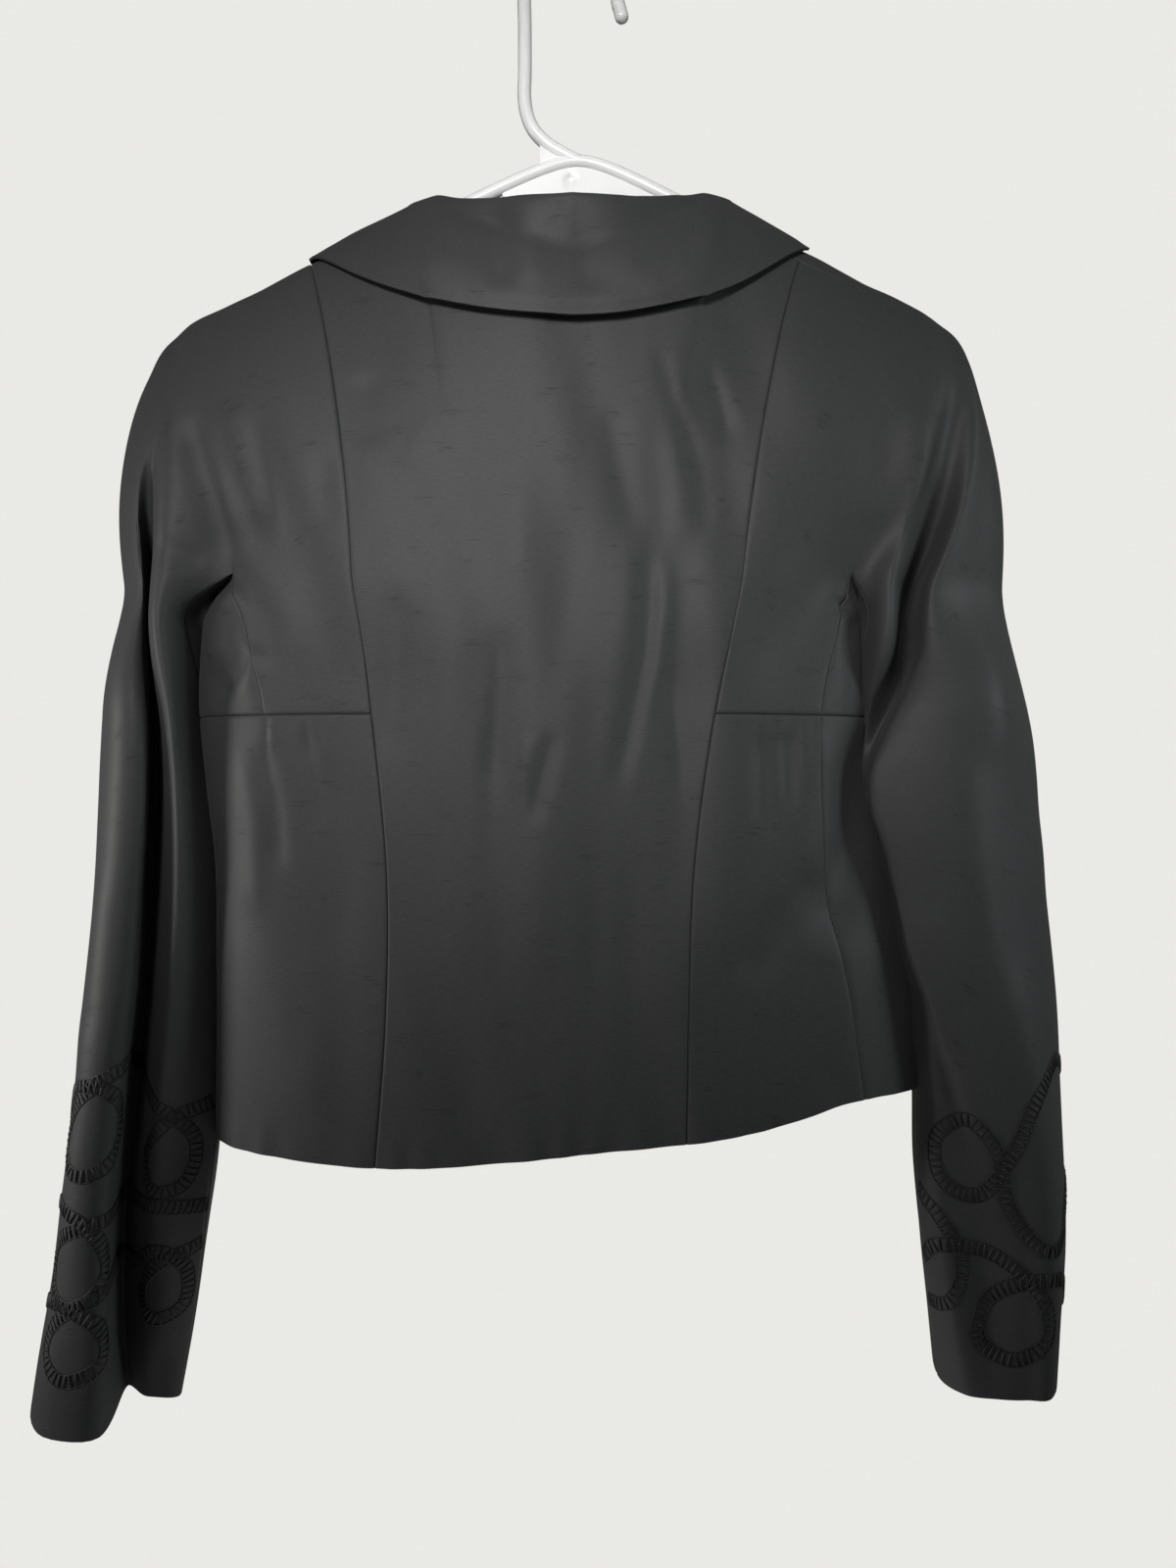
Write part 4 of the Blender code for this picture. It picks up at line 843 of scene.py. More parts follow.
def shape_garment():
    """The whole garment's sheet, folded: (sheet, points, normals)."""
    sheet = Garment()
    for name in SIDES:
        add_side(sheet, name)
    sheet.weld()
    points, quads = sheet.points, sheet.quads
    normals = normals_of(points, quads)
    height = waves(points) + puckers(points, sheet.zone)
    for table, facing in ((BACK_FOLDS, normals[:, 1]), (FRONT_FOLDS, -normals[:, 1])):
        height += fold_height(points, sheet.zone, table) * smoothstep((facing + FACING_START) / FACING_FADE)
    calm = shoulder_calm(points)
    points = points + normals * (height * calm)[:, None]
    dip = seam_dip(quads, sheet.labels, len(points)) * calm
    points = points - normals_of(points, quads) * dip[:, None]
    return sheet, points, normals_of(points, quads)


def make_piece(name, points, faces, material, weave=None, sharp=50.0):
    """A mesh object at the origin; points are in millimetres, weave in millimetres on the cloth."""
    mesh = bpy.data.meshes.new(name)
    mesh.from_pydata((np.asarray(points) * MM).tolist(), [], faces)
    if weave is not None:
        corner = np.empty(len(mesh.loops), int)
        mesh.loops.foreach_get("vertex_index", corner)
        layer = mesh.uv_layers.new(name="weave")
        layer.data.foreach_set("uv", (weave[corner] * MM).astype(np.float32).ravel())
    mesh.shade_smooth()
    mesh.set_sharp_from_angle(angle=math.radians(sharp))
    mesh.materials.append(material)
    piece = bpy.data.objects.new(name, mesh)
    bpy.context.scene.collection.objects.link(piece)
    return piece


# The least turn counted at a sharp corner, and the shift of the weave from piece to piece
CORNER_LIMIT = 0.35
WEAVE_SHIFT = 37.0


def shell(points, normals, quads, thickness):
    """A closed shell from a sheet: its outer edge moves in by half a seam gap, the inner layer lies one
    thickness inside and meets its neighbour's, and a rim joins the two. Gives the points and the faces."""
    size = len(points)
    edges = np.stack([quads.ravel(), np.roll(quads, -1, axis=1).ravel()], axis=1)
    edges = edges[edges[:, 0] != edges[:, 1]]
    there = edges[:, 0] * size + edges[:, 1]
    back = edges[:, 1] * size + edges[:, 0]
    a, b = edges[~np.isin(there, back)].T
    direction = unit(np.cross(normals[a] + normals[b], points[b] - points[a]))
    total = np.zeros(points.shape)
    np.add.at(total, a, direction)
    np.add.at(total, b, direction)
    moves = total / np.maximum(CORNER_LIMIT, 0.5 * (total * total).sum(axis=1))[:, None]
    layers = np.concatenate([quads, quads[:, ::-1] + size, np.stack([b, a, a + size, b + size], axis=1)])
    poor = (layers == np.roll(layers, -1, axis=1)).any(axis=1)
    narrow = [list(dict.fromkeys(face)) for face in layers[poor].tolist()]
    faces = layers[~poor].tolist() + [face for face in narrow if len(face) > 2]
    return np.concatenate([points + moves * HALF_GAP, points - normals * thickness]), faces


# Grain of the slanted weaves in degrees
GRAIN = {"kimono_back_right": 28.0, "kimono_back_left": -20.0}


def cloth_piece(name, sheet_shell, weave, material):
    """A cloth shell in its node's place, its weave on both layers."""
    piece = make_piece("shell_" + name, *sheet_shell, material, np.tile(weave, (2, 1)))
    dress(piece, name)


def dress(piece, node):
    """The piece stands for a node of the frame and rides on its body."""
    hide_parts(node)
    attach(piece, "root")


def build_cloth(material):
    """The maker's cloth pieces, each a thin shell."""
    sheet, points, normals = shape_garment()
    for number, name in enumerate(sheet.names):
        quads = sheet.quads[sheet.labels == number]
        used, place = np.unique(quads, return_inverse=True)
        turn = math.radians(GRAIN.get(name, 0.0))
        turned = np.array([[math.cos(turn), -math.sin(turn)], [math.sin(turn), math.cos(turn)]])
        weave = (sheet.weave[used] + WEAVE_SHIFT * number) @ turned
        cloth = shell(points[used], normals[used], place.reshape(quads.shape), CLOTH)
        cloth_piece(name, cloth, weave, material)
    return sheet, points, normals


# Collar: grid step for its normals, how far its edge sinks, the shoulder's reach along it, the first row that
# gives a way up, the row over the shoulder, its share of the waves, the last station under it and the steps
# to find one there, and the rows of its fall
NORMAL_STEP = 0.03
EDGE_DROP = 0.18
SHOULDER_REACH = 0.35
UP_ROW = 0.3
SHOULDER_ROW = 0.03
COLLAR_WAVES = 0.7
LAST_UNDER_COLLAR = 1.6
HALVINGS = 30
FALL_SHARES = np.array([0.05, 0.12, 0.2, 0.28, 0.36, 0.44, 0.52, 0.6, 0.68, 0.76, 0.84, 0.9, 0.95, 0.98, 1.0])


def panel_point(side, k, row):
    """A point on the panel at station k and grid row, and the panel's outward normal there."""
    def at(station, fall_row):
        point = upper(side, station, fall_row ** 2)
        point[..., 1] -= overlap_lift(side, point)
        return point

    along = at(k + NORMAL_STEP, row) - at(np.maximum(k - NORMAL_STEP, 0.0), row)
    down = at(k, row + NORMAL_STEP) - at(k, np.maximum(row - NORMAL_STEP, 0.0))
    return at(k, row), unit(np.cross(along, down))


def panel_at(side, x, z):
    """Station and row of the back panel at a distance x and a level z, found by halving."""
    low, high = np.zeros(x.shape), np.full(x.shape, LAST_UNDER_COLLAR)
    for _ in range(HALVINGS):
        middle = 0.5 * (low + high)
        beyond = upper(side, middle, np.maximum(fall_at(side, middle, z), 0.0))[..., 0] > x
        low, high = np.where(beyond, low, middle), np.where(beyond, middle, high)
    return low, np.sqrt(np.maximum(fall_at(side, low, z), 0.0))


def collar_half(side, places):
    """Collar cross-sections: from the neck seam up the stand, over the roll, and down over the panel,
    whose own points, moved out by the lift, carry the fall."""
    *stand, lift = (column_at(COLLAR_SECTIONS, i, places, True) for i in (1, 2, 3, 4))
    stand = np.stack(stand, axis=-1)
    on_front = places > 1.0
    break_row = math.sqrt(float(fall_at(side, np.float64(FRONT_EDGE), COLLAR_END_Z)))
    seam_k = np.where(on_front, 12.0, 0.5 * places)
    seam_row = np.where(on_front, (places - 1.0) * break_row, 0.0)
    seam, _ = panel_point(side, seam_k, seam_row)
    _, up = panel_point(side, seam_k, np.maximum(seam_row, UP_ROW))
    near_shoulder = 1.0 - smoothstep(np.abs(places - 1.0) / SHOULDER_REACH)[:, None]
    up = unit(up * (1.0 - near_shoulder) + np.array(SHOULDER_UP) * near_shoulder)

    def fan(start, edge):
        """Values from the seam's to the outer edge's, at the shares of the fall."""
        return start[:, None] + (edge - start)[:, None] * FALL_SHARES

    first = 1 if side["sign"] > 0 else 3
    edge_x, edge_z = (column_at(COLLAR_BACK_EDGE, first + i, np.minimum(places, 1.0), True) for i in (0, 1))
    back_k, back_row = panel_at(side, fan(seam[:, 0], edge_x), fan(seam[:, 2], edge_z))
    over_shoulder = (places == 1.0)[:, None]
    back_k = np.where(over_shoulder, 0.5 + 0.5 * FALL_SHARES, back_k)
    back_row = np.where(over_shoulder, SHOULDER_ROW, back_row)
    edge_k, edge_row = (column_at(COLLAR_FRONT_EDGE, i, np.maximum(places, 1.0)) for i in (1, 2))
    fall_k = np.where(on_front[:, None], fan(seam_k, edge_k), back_k)
    fall_row = np.where(on_front[:, None], fan(seam_row, edge_row), back_row)
    fall, normal = panel_point(side, fall_k, fall_row)
    edge_drop = 1.0 - EDGE_DROP * smoothstep((FALL_SHARES - 0.8) / 0.2)
    fall = fall + normal * lift[:, None, None] * edge_drop[None, :, None]
    roll = seam + stand
    top = roll + lift[:, None] * (0.5 * up + 0.45 * unit(stand))
    turn = roll + lift[:, None] * up
    rising = np.stack([seam + 0.03 * stand, seam + 0.5 * stand, roll, top, turn], axis=1)
    return np.concatenate([rising, fall], axis=1)


def across_columns(grid, at):
    """The grid at fractional columns: a smooth curve through the four columns round each place."""
    cell = np.clip(np.floor(at).astype(int), 0, grid.shape[1] - 2)
    weights = cubic_weights((at - cell)[None, :, None])
    return sum(weight * grid[:, np.clip(cell + offset - 1, 0, grid.shape[1] - 1)]
               for offset, weight in enumerate(weights))


def build_collar(material):
    """The shawl collar in one shell, from break point to break point."""
    places = np.unique(np.round(np.concatenate([np.linspace(0, 1, 56), np.linspace(1, 2, 84)]), 6))
    at = np.concatenate([np.arange(0.0, 5.0, 0.25), np.arange(5, 5 + len(FALL_SHARES))])
    left, right = (across_columns(collar_half(SIDES[name], places), at) for name in ("left", "right"))
    grid = np.concatenate([left[::-1], right[1:] * (-1.0, 1.0, 1.0)])
    points = grid.reshape(-1, 3)
    quads = grid_cells(grid_numbers(*grid.shape[:2]))
    normals = normals_of(points, quads)
    middle = len(places) * grid.shape[1] - 1
    if normals[middle, 1] < 0:
        quads = quads[:, ::-1]
        normals = -normals
    zones = np.full(len(points), UPPER_ZONE)
    height = COLLAR_WAVES * waves(points) + fold_height(points, zones, COLLAR_FOLDS)
    points = points + normals * height[:, None]
    along = run_along(np.swapaxes(grid, 0, 1)).T
    weave = np.stack([along - along[len(places) - 1], run_along(grid)], axis=-1).reshape(-1, 2)
    cloth_piece("collar", shell(points, normals_of(points, quads), quads, COLLAR_CLOTH), weave, material)


# Buttons
def build_buttons(material):
    """Cloth-covered buttons: a profile turned about an axis along y, from the flat back over the dome."""
    side = SIDES["right"]
    turn = np.linspace(0, math.pi / 2, 13)[1:-1]
    rim = np.linspace(0, 1, 5)
    edge = 0.9 + 0.1 * np.sin(rim * math.pi / 2)
    radius = np.concatenate([[0.0, 0.5, 0.86], edge, np.cos(turn) ** 0.8, [0.0]])
    height = np.concatenate([[0.0, 0.0, 0.0], 0.04 + 0.26 * rim, 0.3 + 0.7 * np.sin(turn), [1.0]])
    for number, level in enumerate(BUTTON_LEVELS, 1):
        levels = level + np.linspace(-1.0, 1.0, 5) * BUTTON_RADIUS
        near = torso(side, np.linspace(5.7, 6.0, 7)[:, None], levels)
        seat = float((near[..., 1] - overlap_lift(side, near)).min()) - CLEARANCE - BUTTON_SHANK
        centre = np.stack([0 * height, seat - BUTTON_THICKNESS * height, 0 * height + level], axis=-1)
        width = BUTTON_RADIUS * radius[:, None]
        points, faces = closed_round(rings(centre, width * (1, 0, 0), width * (0, 0, 1), 36), True)
        piece = make_piece("covered_button_%d" % number, points, faces, material, points[:, (0, 2)])
        dress(piece, "button_%d" % number)


def rings(centres, first, second, sides, start=0.0):
    """A ring of points round each centre: an ellipse with the half axes first and second."""
    angle = (2 * math.pi * np.arange(sides) / sides + start)[:, None]
    return centres[:, None] + np.cos(angle) * first[:, None] + np.sin(angle) * second[:, None]


def closed_round(ring, poles):
    """Points and faces of a grid that closes on itself along its second way; with poles its first and
    last rows are single points, otherwise the first and last rings are filled."""
    index = grid_numbers(*ring.shape[:2])
    points = ring.reshape(-1, 3)
    if not poles:
        ends = [index[0][::-1].tolist(), index[-1].tolist()]
        return points, grid_cells(wrapped(index, 1)).tolist() + ends
    index[0] = index[0, 0]
    index[-1] = index[-1, 0]
    used, place = np.unique(grid_cells(wrapped(index, 1)), return_inverse=True)
    return points[used], [list(dict.fromkeys(face)) for face in place.reshape(-1, 4).tolist()]


def joined(parts):
    """Parts, each with points and faces, as one mesh's points and faces."""
    faces = []
    start = 0
    for points, part in parts:
        faces += [[corner + start for corner in face] for face in part]
        start += len(points)
    return np.concatenate([points for points, _ in parts]), faces


# Hanger
def tube(path, radius, closed):
    """Points and faces of a round tube along a path in the plane y = 0; radius is one value or one for
    each point of the path."""
    path = np.asarray(path, float)
    along = np.roll(path, -1, axis=0) - np.roll(path, 1, axis=0) if closed else np.gradient(path, axis=0)
    side = np.tile([0.0, 1.0, 0.0], (len(path), 1))
    width = np.broadcast_to(radius, (len(path),))[:, None]
    ring = rings(path, width * side, width * np.cross(unit(along), side), TUBE_SIDES)
    if closed:
        index = wrapped(wrapped(grid_numbers(len(path), TUBE_SIDES), 0), 1)
        return ring.reshape(-1, 3), grid_cells(index).tolist()
    return closed_round(ring, False)


def arc(centre, radius, start, end, cells):
    """Points of an arc in the plane y = 0; angles in degrees from +X towards +Z."""
    angles = np.radians(np.linspace(start, end, cells + 1))
    return [(centre[0] + radius * math.cos(a), 0.0, centre[1] + radius * math.sin(a)) for a in angles]


def hook_path():
    """From the flared tip over the hook, down the shank and round the bend into the apex: a smooth curve
    through its points, at even steps."""
    path = np.insert(np.array(HOOK_TIP + SHANK, float), 1, 0.0, axis=1)
    turn = arc((0.0, HOOK_CENTRE_Z), HOOK_RADIUS, HOOK_SWEEP, 0.0, 16)
    path = np.concatenate([path[:len(HOOK_TIP)], turn, path[len(HOOK_TIP):]])
    length = run_along(path)
    at = np.linspace(0.0, length[-1], int(length[-1] / TUBE_STEP) + 1)
    return np.stack([smooth_through(length, path[:, axis], at) for axis in range(3)], axis=-1)


def frame_path():
    """Arms and lower bar as one loop: hyperbola arms, round tips and a straight bar."""
    reach = np.concatenate([np.linspace(*span) for span in ARM_SPANS])
    halves = []
    for sign in (1.0, -1.0):
        slope = math.atan(ARM_SLOPES[sign])
        centre = (ARM_REACH - TIP_RADIUS * math.sin(slope),
                  float(arm_z(ARM_REACH, sign)) - TIP_RADIUS * math.cos(slope))
        half = [(x, 0.0, float(arm_z(x, sign))) for x in reach[:-1]]
        half += arc(centre, TIP_RADIUS, 90.0 - math.degrees(slope), -90.0, 24)
        halves.append([(sign * x + ARM_APEX_X, y, z) for x, y, z in half])
    left_end, right_end = (np.array(half[-1]) for half in halves)
    bar = [tuple(left_end + (right_end - left_end) * share) for share in np.linspace(0, 1, 26)[1:-1]]
    return [(ARM_APEX_X, 0.0, ARM_APEX_Z)] + halves[0] + bar + halves[1][::-1]


def web_plate():
    """The thin web under the apex: an outline between the arms and a curved lower edge, given thickness,
    with a round dimple pressed into both faces."""
    across = np.linspace(-1.0, 1.0, WEB_COLUMNS)
    arms = [arm_z(np.abs(across) * WEB_HALF, sign) for sign in (1.0, -1.0)]
    top = np.where(across > 0, *arms)
    bottom = WEB_BOTTOM_Z + WEB_CURVE * across ** 2
    z = top + (np.minimum(bottom, top - WEB_LEAST) - top) * np.linspace(0.0, 1.0, WEB_ROWS)[:, None]
    x = np.broadcast_to(across * WEB_HALF + ARM_APEX_X, z.shape)
    from_dimple = np.hypot(x - DIMPLE[0], z - DIMPLE[1])
    dimple = DIMPLE_DEPTH * (1.0 - smoothstep((from_dimple - DIMPLE_RADIUS) / DIMPLE_EDGE))
    thickness = WEB_THICKNESS / 2 - dimple
    points = np.concatenate([np.stack([x, y, z], axis=-1).reshape(-1, 3) for y in (-thickness, thickness)])
    index = grid_numbers(*z.shape)
    quads = grid_cells(index)
    loop = np.concatenate([index[0], index[1:, -1], index[-1, -2::-1], index[-2:0:-1, 0]])
    after = np.roll(loop, -1)
    rim = np.stack([loop, loop + z.size, after + z.size, after], axis=-1)
    return points, np.concatenate([quads[:, ::-1], quads + z.size, rim]).tolist()


def crook_plate():
    """The small flat plate in the crook between shank and arm: four corners, given thickness."""
    points = np.concatenate([np.insert(CROOK, 1, side * WEB_THICKNESS / 2, axis=1) for side in (-1, 1)])
    sides = [[i, (i + 1) % 4, (i + 1) % 4 + 4, i + 4] for i in range(4)]
    return points, [[3, 2, 1, 0], [4, 5, 6, 7]] + sides


def build_hanger(material):
    """One moulded hanger: hook and shank, the loop of arms and bar, and the web under the apex."""
    path = hook_path()
    from_tip = np.minimum(np.linalg.norm(path - path[0], axis=1) / TIP_ROUNDING, 1.0)
    radius = TUBE_RADIUS * np.sqrt(np.clip(1.0 - (1.0 - from_tip) ** 2, TIP_LEAST, 1.0))
    parts = [tube(frame_path(), TUBE_RADIUS, True), tube(path, radius, False), web_plate(), crook_plate()]
    piece = make_piece("moulded_hanger", *joined(parts), material, sharp=40.0)
    dress(piece, "hanger")


# Embroidery
class SleeveFace:
    """A sleeve's folded surface, read at a length round the sleeve from its outer edge (towards the body
    on the back, negative on the front) and a level."""

    def __init__(self, sheet, points, normals, name):
        back, front = sheet.blocks["sleeve_back_" + name], sheet.blocks["sleeve_front_" + name]
        index = np.concatenate([back, front[:, 1:]], axis=1)[:, ::-1]
        self.points, self.normals = points[index], normals[index]
        self.levels = sheet.points[index][:, index.shape[1] // 2, 2]
        length = run_along(self.points)
        self.length = length - length[:, front.shape[1] - 1][:, None]

    def at(self, places):
        """Point and normal at each place: linear between the grid's four nearest points."""
        round_sleeve, level = places.reshape(-1, 2).T
        row = np.interp(-level, -self.levels, np.arange(len(self.levels)))
        low = np.clip(np.floor(row).astype(int), 0, len(self.levels) - 2)
        share = (row - low)[:, None]
        found = []
        for layer in (low, low + 1):
            lengths = self.length[layer]
            column = np.clip((lengths < round_sleeve[:, None]).sum(axis=1) - 1, 0, lengths.shape[1] - 2)
            pick = np.arange(len(column))
            start, end = lengths[pick, column], lengths[pick, column + 1]
            part = np.clip((round_sleeve - start) / (end - start), 0.0, 1.0)[:, None]
            found.append([grid[layer, column] * (1 - part) + grid[layer, column + 1] * part
                          for grid in (self.points, self.normals)])
        point, normal = (found[0][i] * (1 - share) + found[1][i] * share for i in (0, 1))
        return point, unit(normal)


def through(places, step):
    """A smooth plane curve through places, drawn at even steps, with its way along and across."""
    places = np.asarray(places, float).reshape(-1, 2)
    fine = np.linspace(0, len(places) - 1, 60 * len(places))
    curve = np.stack([smooth_through(range(len(places)), places[:, axis], fine) for axis in (0, 1)], axis=-1)
    length = run_along(curve)
    at = np.arange(0.0, length[-1], step)
    curve = np.stack([np.interp(at, length, curve[:, axis]) for axis in (0, 1)], axis=-1)
    along = unit(np.gradient(curve, axis=0))
    return curve, along, np.stack([-along[:, 1], along[:, 0]], axis=-1)


# Bands: half width, rungs and their lean, cords, and how deep both sit in the cloth
BAND_HALF = 3.4
RUNG_STEP = 3.2
RUNG_HALF = 0.8
RUNG_LEAN = 0.55
STITCH_HEIGHT = 0.75
CORD_STEP = 1.3
CORD_RADIUS = 0.42
SUNK = 0.1
RUNG_OVER = 0.35

# Generic scrolls of ladder stitch: length round the sleeve from its outer edge and level, place by place
SCROLLS = {
    "left": (
        (-70, -668, -44, -648, -16, -640, 12, -622, 34, -602, 58, -598, 72, -614, 66, -636, 46, -642, 34,
         -628, 44, -606, 66, -590, 92, -588, 120, -600, 146, -612, 164, -630, 160, -652, 144, -656, 136, -640,
         150, -620, 176, -612),
        (-60, -700, -30, -690, 0, -672, 30, -660, 58, -668, 70, -690, 56, -708, 36, -702, 34, -682, 54, -668,
         84, -664, 120, -664, 150, -664, 176, -667),
        (-44, -734, -10, -728, 18, -714, 44, -708, 68, -716, 74, -734, 54, -744, 38, -732, 46, -714, 72, -700,
         100, -696, 130, -698, 150, -688, 166, -698, 168, -718, 152, -726, 142, -712, 152, -694, 176, -686),
    ),
    "right": (
        (-60, -640, -30, -618, 0, -598, 28, -588, 52, -604, 66, -630, 84, -652, 102, -644, 104, -624, 88,
         -614, 74, -630, 70, -656, 54, -678, 34, -676, 24, -660, 6, -650, -20, -664, -40, -684),
        (-50, -712, -20, -722, 10, -716, 34, -698, 58, -694, 80, -704, 84, -724, 66, -734, 50, -722, 56, -700,
         78, -682, 104, -678, 118, -688),
        (118, -652, 104, -664, 94, -684, 100, -706, 118, -712),
    ),
}


def build_embroidery(sheet, points, normals, material):
    """Ladder-stitch bands on both lower sleeves: a raised rung at every step across a plane curve, and a
    thin cord along each side, all laid on the folded sleeve."""
    for name, curves in SCROLLS.items():
        face = SleeveFace(sheet, points, normals, name)
        parts = []
        for places in curves:
            parts.append(rungs(face, *through(places, RUNG_STEP)))
            curve, _, across = through(places, CORD_STEP)
            parts += [cord(face, curve + edge * BAND_HALF * across) for edge in (-1.0, 1.0)]
        piece = make_piece("embroidery_" + name, *joined(parts), material, sharp=80.0)
        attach(piece, "root")


# Rings of one rung: place across the band and size
RUNG_RINGS = np.array([(-1.0, 0.25), (-0.8, 0.85), (0.0, 1.0), (0.8, 0.85), (1.0, 0.25)])


def rungs(face, curve, along, across):
    """Each rung: five six-sided rings across the band, narrow at both ends, half sunk in the cloth."""
    offsets = RUNG_RINGS[:, 0] * (BAND_HALF + RUNG_OVER)
    number = np.arange(len(curve))
    lean = RUNG_LEAN * np.sin(2.4 * number + np.sin(0.9 * number))
    spots = (curve[:, None] + across[:, None] * offsets[:, None]
             + along[:, None] * (lean[:, None] * offsets / BAND_HALF)[..., None])
    point, normal = face.at(spots)
    way = unit(face.at(spots + along[:, None] * 0.5)[0] - point)
    size = np.tile(RUNG_RINGS[:, 1], len(curve))[:, None]
    ring = rings(point + SUNK * normal, size * RUNG_HALF * way, size * STITCH_HEIGHT * normal, 6, math.pi / 6)
    index = grid_numbers(len(curve), 5, 6)
    faces = grid_cells(wrapped(index, 2)).tolist()
    return ring.reshape(-1, 3), faces + index[:, 0, ::-1].tolist() + index[:, -1].tolist()


def cord(face, curve):
    """A thin five-sided cord along a plane curve on the sleeve."""
    point, normal = face.at(curve)
    side = np.cross(unit(np.gradient(point, axis=0)), normal)
    return closed_round(rings(point + SUNK * normal, CORD_RADIUS * side, CORD_RADIUS * normal, 5), False)


# Materials
class Finish:
    """A material whose nodes are added by short calls."""

    def __init__(self, name):
        self.material = bpy.data.materials.new(name)
        self.material.use_nodes = True
        self.tree = self.material.node_tree
        self.shader = self.tree.nodes["Principled BSDF"]

    def fill(self, node, inputs):
        """Sets a node's inputs, each to a value or from another node's output."""
        for key, value in dict(inputs).items():
            if isinstance(value, bpy.types.NodeSocket):
                self.tree.links.new(value, node.inputs[key])
            else:
                node.inputs[key].default_value = value

    def node(self, kind, inputs=(), **settings):
        """A node with its settings and inputs."""
        made = self.tree.nodes.new("ShaderNode" + kind)
        for key, value in settings.items():
            setattr(made, key, value)
        self.fill(made, inputs)
        return made

    def noise(self, scale, detail=2.0):
        """Even noise through the object's space."""
        place = self.node("TexCoord").outputs["Object"]
        return self.node("TexNoise", {"Vector": place, "Scale": scale, "Detail": detail}).outputs["Fac"]

    def threads(self, along, across, detail=2.0):
        """Noise in the weave, drawn out by its two scales, along the weft and across it."""
        weave = self.node("UVMap", uv_map="weave").outputs["UV"]
        drawn = self.node("Mapping", {"Vector": weave, "Scale": (along, across, 1.0)}).outputs["Vector"]
        return self.node("TexNoise", {"Vector": drawn, "Scale": 1.0, "Detail": detail},
                         noise_dimensions="2D").outputs["Fac"]

    def ramp(self, value, *stops):
        """A colour ramp with two stops (place, grey or colour)."""
        made = self.node("ValToRGB", {"Fac": value})
        for element, (place, colour) in zip(made.color_ramp.elements, stops):
            element.position = place
            element.color = (*np.broadcast_to(colour, 3).tolist(), 1.0)
        return made.outputs["Color"]

    def math(self, operation, a, b):
        """Two values joined by an operation."""
        return self.node("Math", {0: a, 1: b}, operation=operation).outputs[0]

    def mix(self, blend, share, first, second):
        """Two colours mixed by a share."""
        inputs = {"Fac": share, "Color1": first, "Color2": second}
        return self.node("MixRGB", inputs, blend_type=blend).outputs[0]

    def coated(self, colour, height, strength, distance, **looks):
        """The finished material: its colour, a relief of a height in metres, and its other looks."""
        bump = self.node("Bump", {"Height": height, "Strength": strength, "Distance": distance}).outputs[0]
        self.fill(self.shader, {"Base Color": colour, "Normal": bump})
        self.fill(self.shader, {name.replace("_", " "): value for name, value in looks.items()})
        return self.material


GROUND_DARK = (0.0385, 0.0400, 0.0405)
GROUND_LIGHT = (0.0430, 0.0445, 0.0450)
SLUB_COLOUR = (0.0190, 0.0200, 0.0203)
THREAD_DARK = (0.0016, 0.0017, 0.0019)
THREAD_LIGHT = (0.00352, 0.00374, 0.00418)


def shantung():
    """Dark silk: fine plain weave with long thick weft threads, cloudy colour and a soft sheen."""
    finish = Finish("silk_shantung")
    slub = finish.math("MULTIPLY", finish.threads(75.0, 1500.0), finish.threads(55.0, 120.0, 1.0))
    thick = finish.ramp(slub, (0.43, 0.0), (0.49, 1.0))
    fine = finish.threads(260.0, 2600.0)
    ground = finish.ramp(finish.noise(9.0, 3.0), (0.3, GROUND_DARK), (0.7, GROUND_LIGHT))
    shade = finish.mix("MULTIPLY", 1.0, ground, finish.ramp(fine, (0.3, 0.86), (0.7, 1.1)))
    marked = finish.mix("MIX", finish.math("MULTIPLY", thick, 0.55), shade, (*SLUB_COLOUR, 1.0))
    relief = finish.math("ADD", finish.math("MULTIPLY", fine, 0.35), finish.math("MULTIPLY", thick, 0.8))
    return finish.coated(marked, relief, 0.35, 0.0003, Roughness=0.55, Specular_IOR_Level=0.2,
                         Sheen_Weight=0.04, Sheen_Roughness=0.5)


def embroidery_thread():
    """Near-black thread with a fine uneven ply."""
    finish = Finish("embroidery_thread")
    ply = finish.noise(2200.0)
    colour = finish.ramp(ply, (0.3, THREAD_DARK), (0.7, THREAD_LIGHT))
    return finish.coated(colour, ply, 0.4, 0.0002, Roughness=0.62)


def white_plastic():
    """Glossy moulded plastic with faint flow marks."""
    finish = Finish("hanger_plastic")
    flow = finish.noise(60.0)
    colour = finish.ramp(flow, (0.3, (0.88, 0.885, 0.89)), (0.7, (0.92, 0.925, 0.93)))
    return finish.coated(colour, flow, 0.12, 0.0006, Roughness=0.22, Coat_Weight=0.3)


# Stage
FLOOR_Z = -1.3
FLOOR_RADIUS = 650.0
FLOOR_SIDES = 96


def build_floor():
    """A pale round floor well below the hanging garment."""
    centre = np.array([(0.0, 0.0, FLOOR_Z / MM)])
    points = rings(centre, np.array([(FLOOR_RADIUS, 0, 0)]), np.array([(0, FLOOR_RADIUS, 0)]), FLOOR_SIDES)[0]
    finish = Finish("pale_floor")
    colour = finish.ramp(finish.noise(3.0), (0.3, (0.76, 0.75, 0.73)), (0.7, (0.80, 0.79, 0.77)))
    finish.fill(finish.shader, {"Base Color": colour, "Roughness": 0.8})
    floor = make_piece("floor", points, [list(range(FLOOR_SIDES))], finish.material)


WARM = (1.0, 0.99, 0.97)

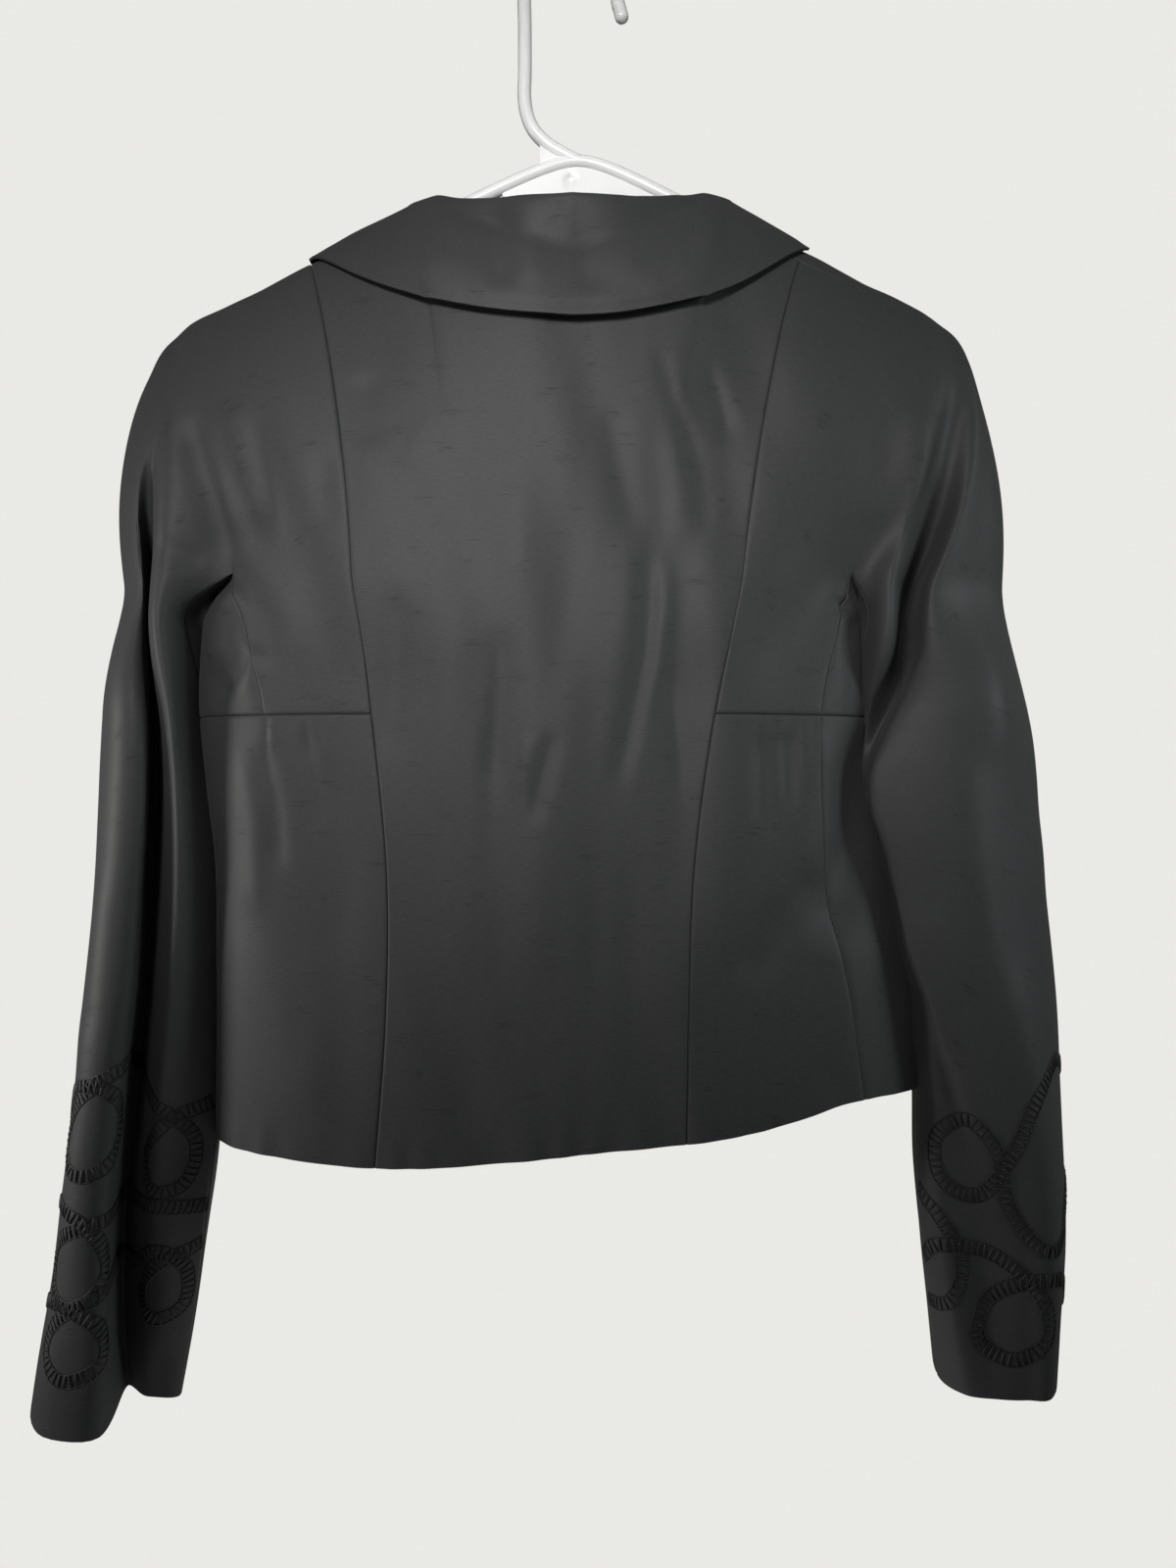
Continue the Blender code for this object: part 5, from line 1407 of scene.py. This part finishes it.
# Square lights: place and target in metres, size, power, spread of the beam in degrees, colour
LIGHTS = {
    "key_left": ((0.25, 1.15, 0.0), (0.15, 0.0, -0.305), 0.3, 0.32, 28.0, WARM),
    "key_right": ((0.25, 1.15, 0.0), (-0.11, 0.0, -0.305), 0.3, 0.32, 28.0, WARM),
    "side_key": ((1.22, 0.26, -0.40), (0.26, 0.0, -0.56), 0.3, 0.72, 46.0, WARM),
    "fill": ((-1.2, 0.4, -0.1), (-0.26, 0.0, -0.44), 0.4, 0.36, 38.0, (0.92, 0.97, 1.0)),
    "hanger_key": ((0.12, 1.1, 0.25), (0.0, 0.0, -0.045), 0.2, 0.075, 14.5, (1.0, 0.99, 0.98)),
    "floor_light": ((0.0, 0.0, -0.95), (0.0, 0.0, FLOOR_Z), 1.3, 4.0, 180.0, (1.0, 1.0, 1.0)),
    "front_key": ((-0.5, -1.1, 0.15), (-0.02, 0.0, -0.34), 0.6, 4.0, 70.0, WARM),
}
WORLD_COLOUR = (0.82, 0.815, 0.79, 1.0)
WORLD_SEEN = 1.0
WORLD_LIGHT = 0.09


def build_lights():
    """A soft key that fades towards the hem, weaker lights from both sides, one for the front that leaves no
    glint on the garment's outline, one for the hanger and one for the floor. None shows to the camera."""
    for name, (place, target, size, power, spread_angle, colour) in LIGHTS.items():
        data = bpy.data.lights.new(name, "AREA")
        data.size = size
        data.energy = power
        data.spread = math.radians(spread_angle)
        data.color = colour
        lamp = bpy.data.objects.new(name, data)
        lamp.location = place
        lamp.rotation_euler = (Vector(target) - Vector(place)).to_track_quat("-Z", "Y").to_euler()
        lamp.visible_camera = False
        lamp.visible_glossy = name != "front_key"
        bpy.context.scene.collection.objects.link(lamp)


def build_world():
    """A pale world, which the camera sees brighter than it shines on the garment."""
    world = bpy.data.worlds.new("pale_world")
    world.use_nodes = True
    tree = world.node_tree
    seen = tree.nodes["Background"]
    light = tree.nodes.new("ShaderNodeBackground")
    mix = tree.nodes.new("ShaderNodeMixShader")
    for background, strength in ((seen, WORLD_SEEN), (light, WORLD_LIGHT)):
        background.inputs["Color"].default_value = WORLD_COLOUR
        background.inputs["Strength"].default_value = strength
    tree.links.new(tree.nodes.new("ShaderNodeLightPath").outputs["Is Camera Ray"], mix.inputs[0])
    tree.links.new(light.outputs[0], mix.inputs[1])
    tree.links.new(seen.outputs[0], mix.inputs[2])
    tree.links.new(mix.outputs[0], tree.nodes["World Output"].inputs["Surface"])
    bpy.context.scene.world = world
    bpy.context.scene.view_settings.view_transform = "Standard"


CAMERA_PLACE = (-0.0083, 0.640, -0.4456)
CAMERA_LENS = 27.69
CAMERA_SENSOR = 36.0


def build_camera():
    """The camera level with the middle of the garment, 0.64 m behind it, and looking at its back."""
    data = bpy.data.cameras.new("camera")
    data.sensor_width = CAMERA_SENSOR
    data.lens = CAMERA_LENS
    camera = bpy.data.objects.new("camera", data)
    camera.location = CAMERA_PLACE
    camera.rotation_euler = (math.pi / 2, 0.0, math.pi)
    bpy.context.scene.collection.objects.link(camera)
    bpy.context.scene.camera = camera


def main():
    """Builds the dressed part and its stage."""
    silk = shantung()
    build_camera()
    sheet, points, normals = build_cloth(silk)
    build_collar(silk)
    build_buttons(silk)
    build_hanger(white_plastic())
    build_embroidery(sheet, points, normals, embroidery_thread())
    build_floor()
    build_lights()
    build_world()


main()
